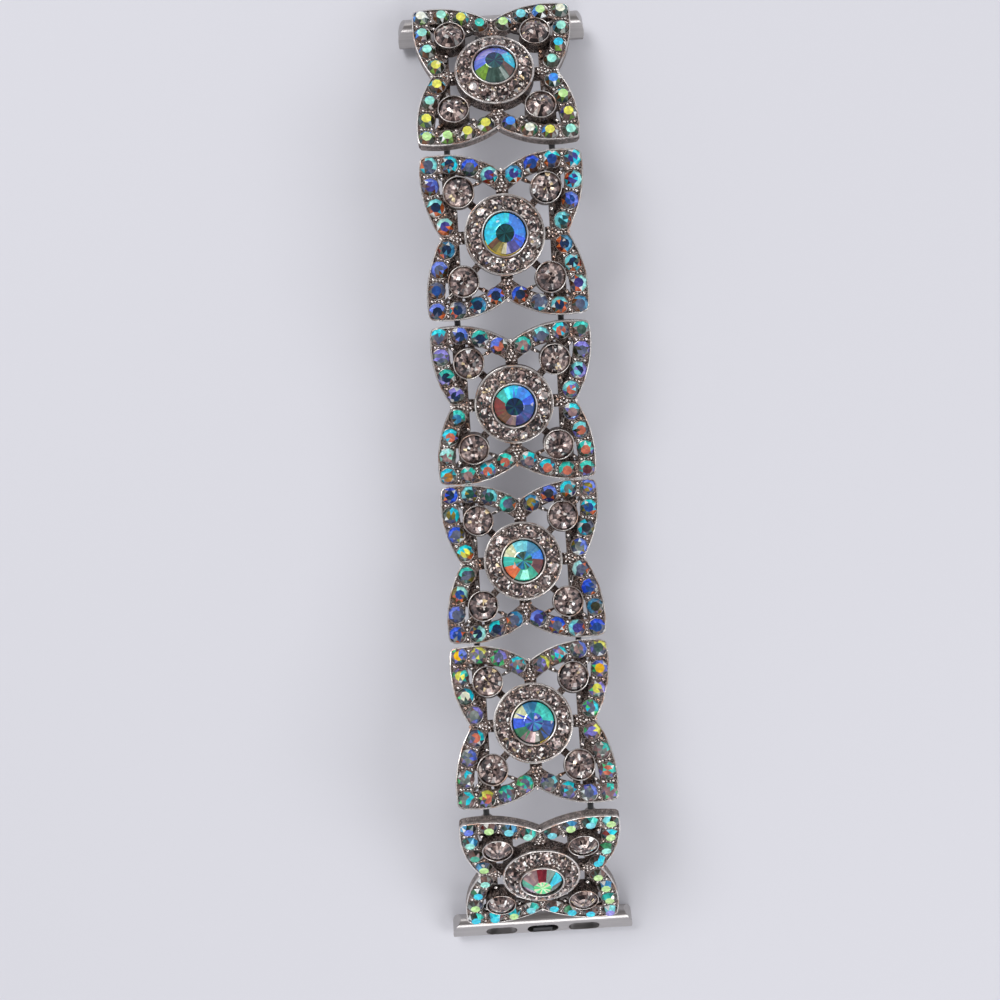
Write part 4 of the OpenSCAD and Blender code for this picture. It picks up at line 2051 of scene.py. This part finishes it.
@dataclass(frozen=True)
class Studio:
    """Camera, lamps, world and floor."""

    at: tuple[float, float, float] = (-4.56, 7.37, 193.24)
    turn: tuple[float, float, float] = (2.94, 0.56, 3.4)
    lens: float = 46.19
    sensor: float = 36.0
    clip: Span = (0.01, 50.0)
    pale: str = "D6D6DE"
    floor_shade: str = "D2D2DA"
    floor_r: float = 0.75
    floor_z: float = -0.0003
    ceiling: str = "7E7A7C"
    fade: Span = (0.45, 0.95)
    light: float = 0.42
    lamps: tuple[Lamp, ...] = (Lamp("key", (-0.35, 0.45, 0.6), 0.35, 3.4),
                               Lamp("fill", (0.5, -0.15, 0.5), 0.4, 1.6),
                               Lamp("low", (0.05, -0.6, 0.35), 0.3, 1.2))

    def camera(self) -> None:
        """Looks down on the band from the photograph's viewing angle."""
        data = bpy.data.cameras.new("camera")
        data.lens = self.lens
        data.sensor_width = self.sensor
        data.clip_start, data.clip_end = self.clip
        camera = shown("camera", data)
        x, y, z = (Matrix.Rotation(math.radians(angle), 3, axis)
                   for angle, axis in zip(self.turn, "XYZ"))
        camera.matrix_world = (Matrix.Translation(Vector(self.at) * MM)
                               @ (z @ y @ x).transposed().to_4x4())
        bpy.context.scene.camera = camera

    def world(self) -> None:
        """Lights the band evenly and shows a plain pale room with a darker ceiling."""
        room = bpy.data.worlds.new("room")
        bpy.context.scene.world = room
        nodes = Nodes(room)
        path = nodes.node("ShaderNodeLightPath")
        camera, glossy, through = (Signal(nodes, path.outputs[f"Is {kind} Ray"])
                                   for kind in ("Camera", "Glossy", "Transmission"))
        _, _, height = nodes.split(nodes.node("ShaderNodeTexCoord").outputs["Generated"])
        stops = tuple(zip(self.fade, (linear(self.pale), linear(self.ceiling))))
        sky = nodes.node("ShaderNodeValToRGB", {"stops": stops}, {0: height})
        light, seen = (nodes.node("ShaderNodeBackground", {}, {0: colour, 1: strength}).outputs[0]
                       for colour, strength in (((1.0, 1.0, 1.0), self.light),
                                                (sky.outputs[0], 1.0)))
        mix = nodes.node("ShaderNodeMixShader", {}, {
            0: camera.most(glossy).most(through), 1: light, 2: seen})
        nodes.node("ShaderNodeOutputWorld", {}, {0: mix.outputs[0]})

    def floor(self) -> None:
        """Lays the plain pale floor."""
        bpy.ops.mesh.primitive_circle_add(vertices=128, radius=self.floor_r, fill_type="NGON",
                                          location=(0, 0, self.floor_z))
        floor = bpy.context.object
        floor.name = "floor"
        paint = Paint("pale_floor")
        soft = paint.noise(3.0, 2.0)
        floor.data.materials.append(paint.finish({
            "Base Color": paint.mix(soft, self.floor_shade, self.pale), "Roughness": 0.9}))

    def build(self) -> None:
        """Sets up the whole studio."""
        bpy.context.scene.view_settings.view_transform = "Standard"
        self.camera()
        self.world()
        self.floor()
        for lamp in self.lamps:
            lamp.hang()


def main() -> None:
    """Builds the studio, the links, the cords and the rails."""
    logging.basicConfig(level=logging.INFO, format="%(name)s: %(message)s")
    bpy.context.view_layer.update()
    Studio().build()
    finishes = {finish: finish.make() for finish in Finish}
    chain, cords = Chain(), Cords()
    links = {number: chain.link(number) for number in range(1, LINKS + 1)}
    gaps = [chain.gap(number) for number in range(LINKS + 1)]
    for number, pose in links.items():
        Link(number, pose).build(finishes)
    soft = [cords.build_gap(gap) for gap in gaps]
    soft += [cords.build_link(number, pose) for number, pose in links.items()]
    for end, gap in (("top", gaps[0]), ("bottom", gaps[-1])):
        EndRail(end).build(finishes)
        place = gap.matrix() @ Matrix.Rotation(-math.radians(gap.curl), 4, "X")
        soft.append(Knots(cords).build(end, place))
    for piece in soft:
        dress(piece, finishes[Finish.ELASTIC])


if __name__ == "__main__":
    main()
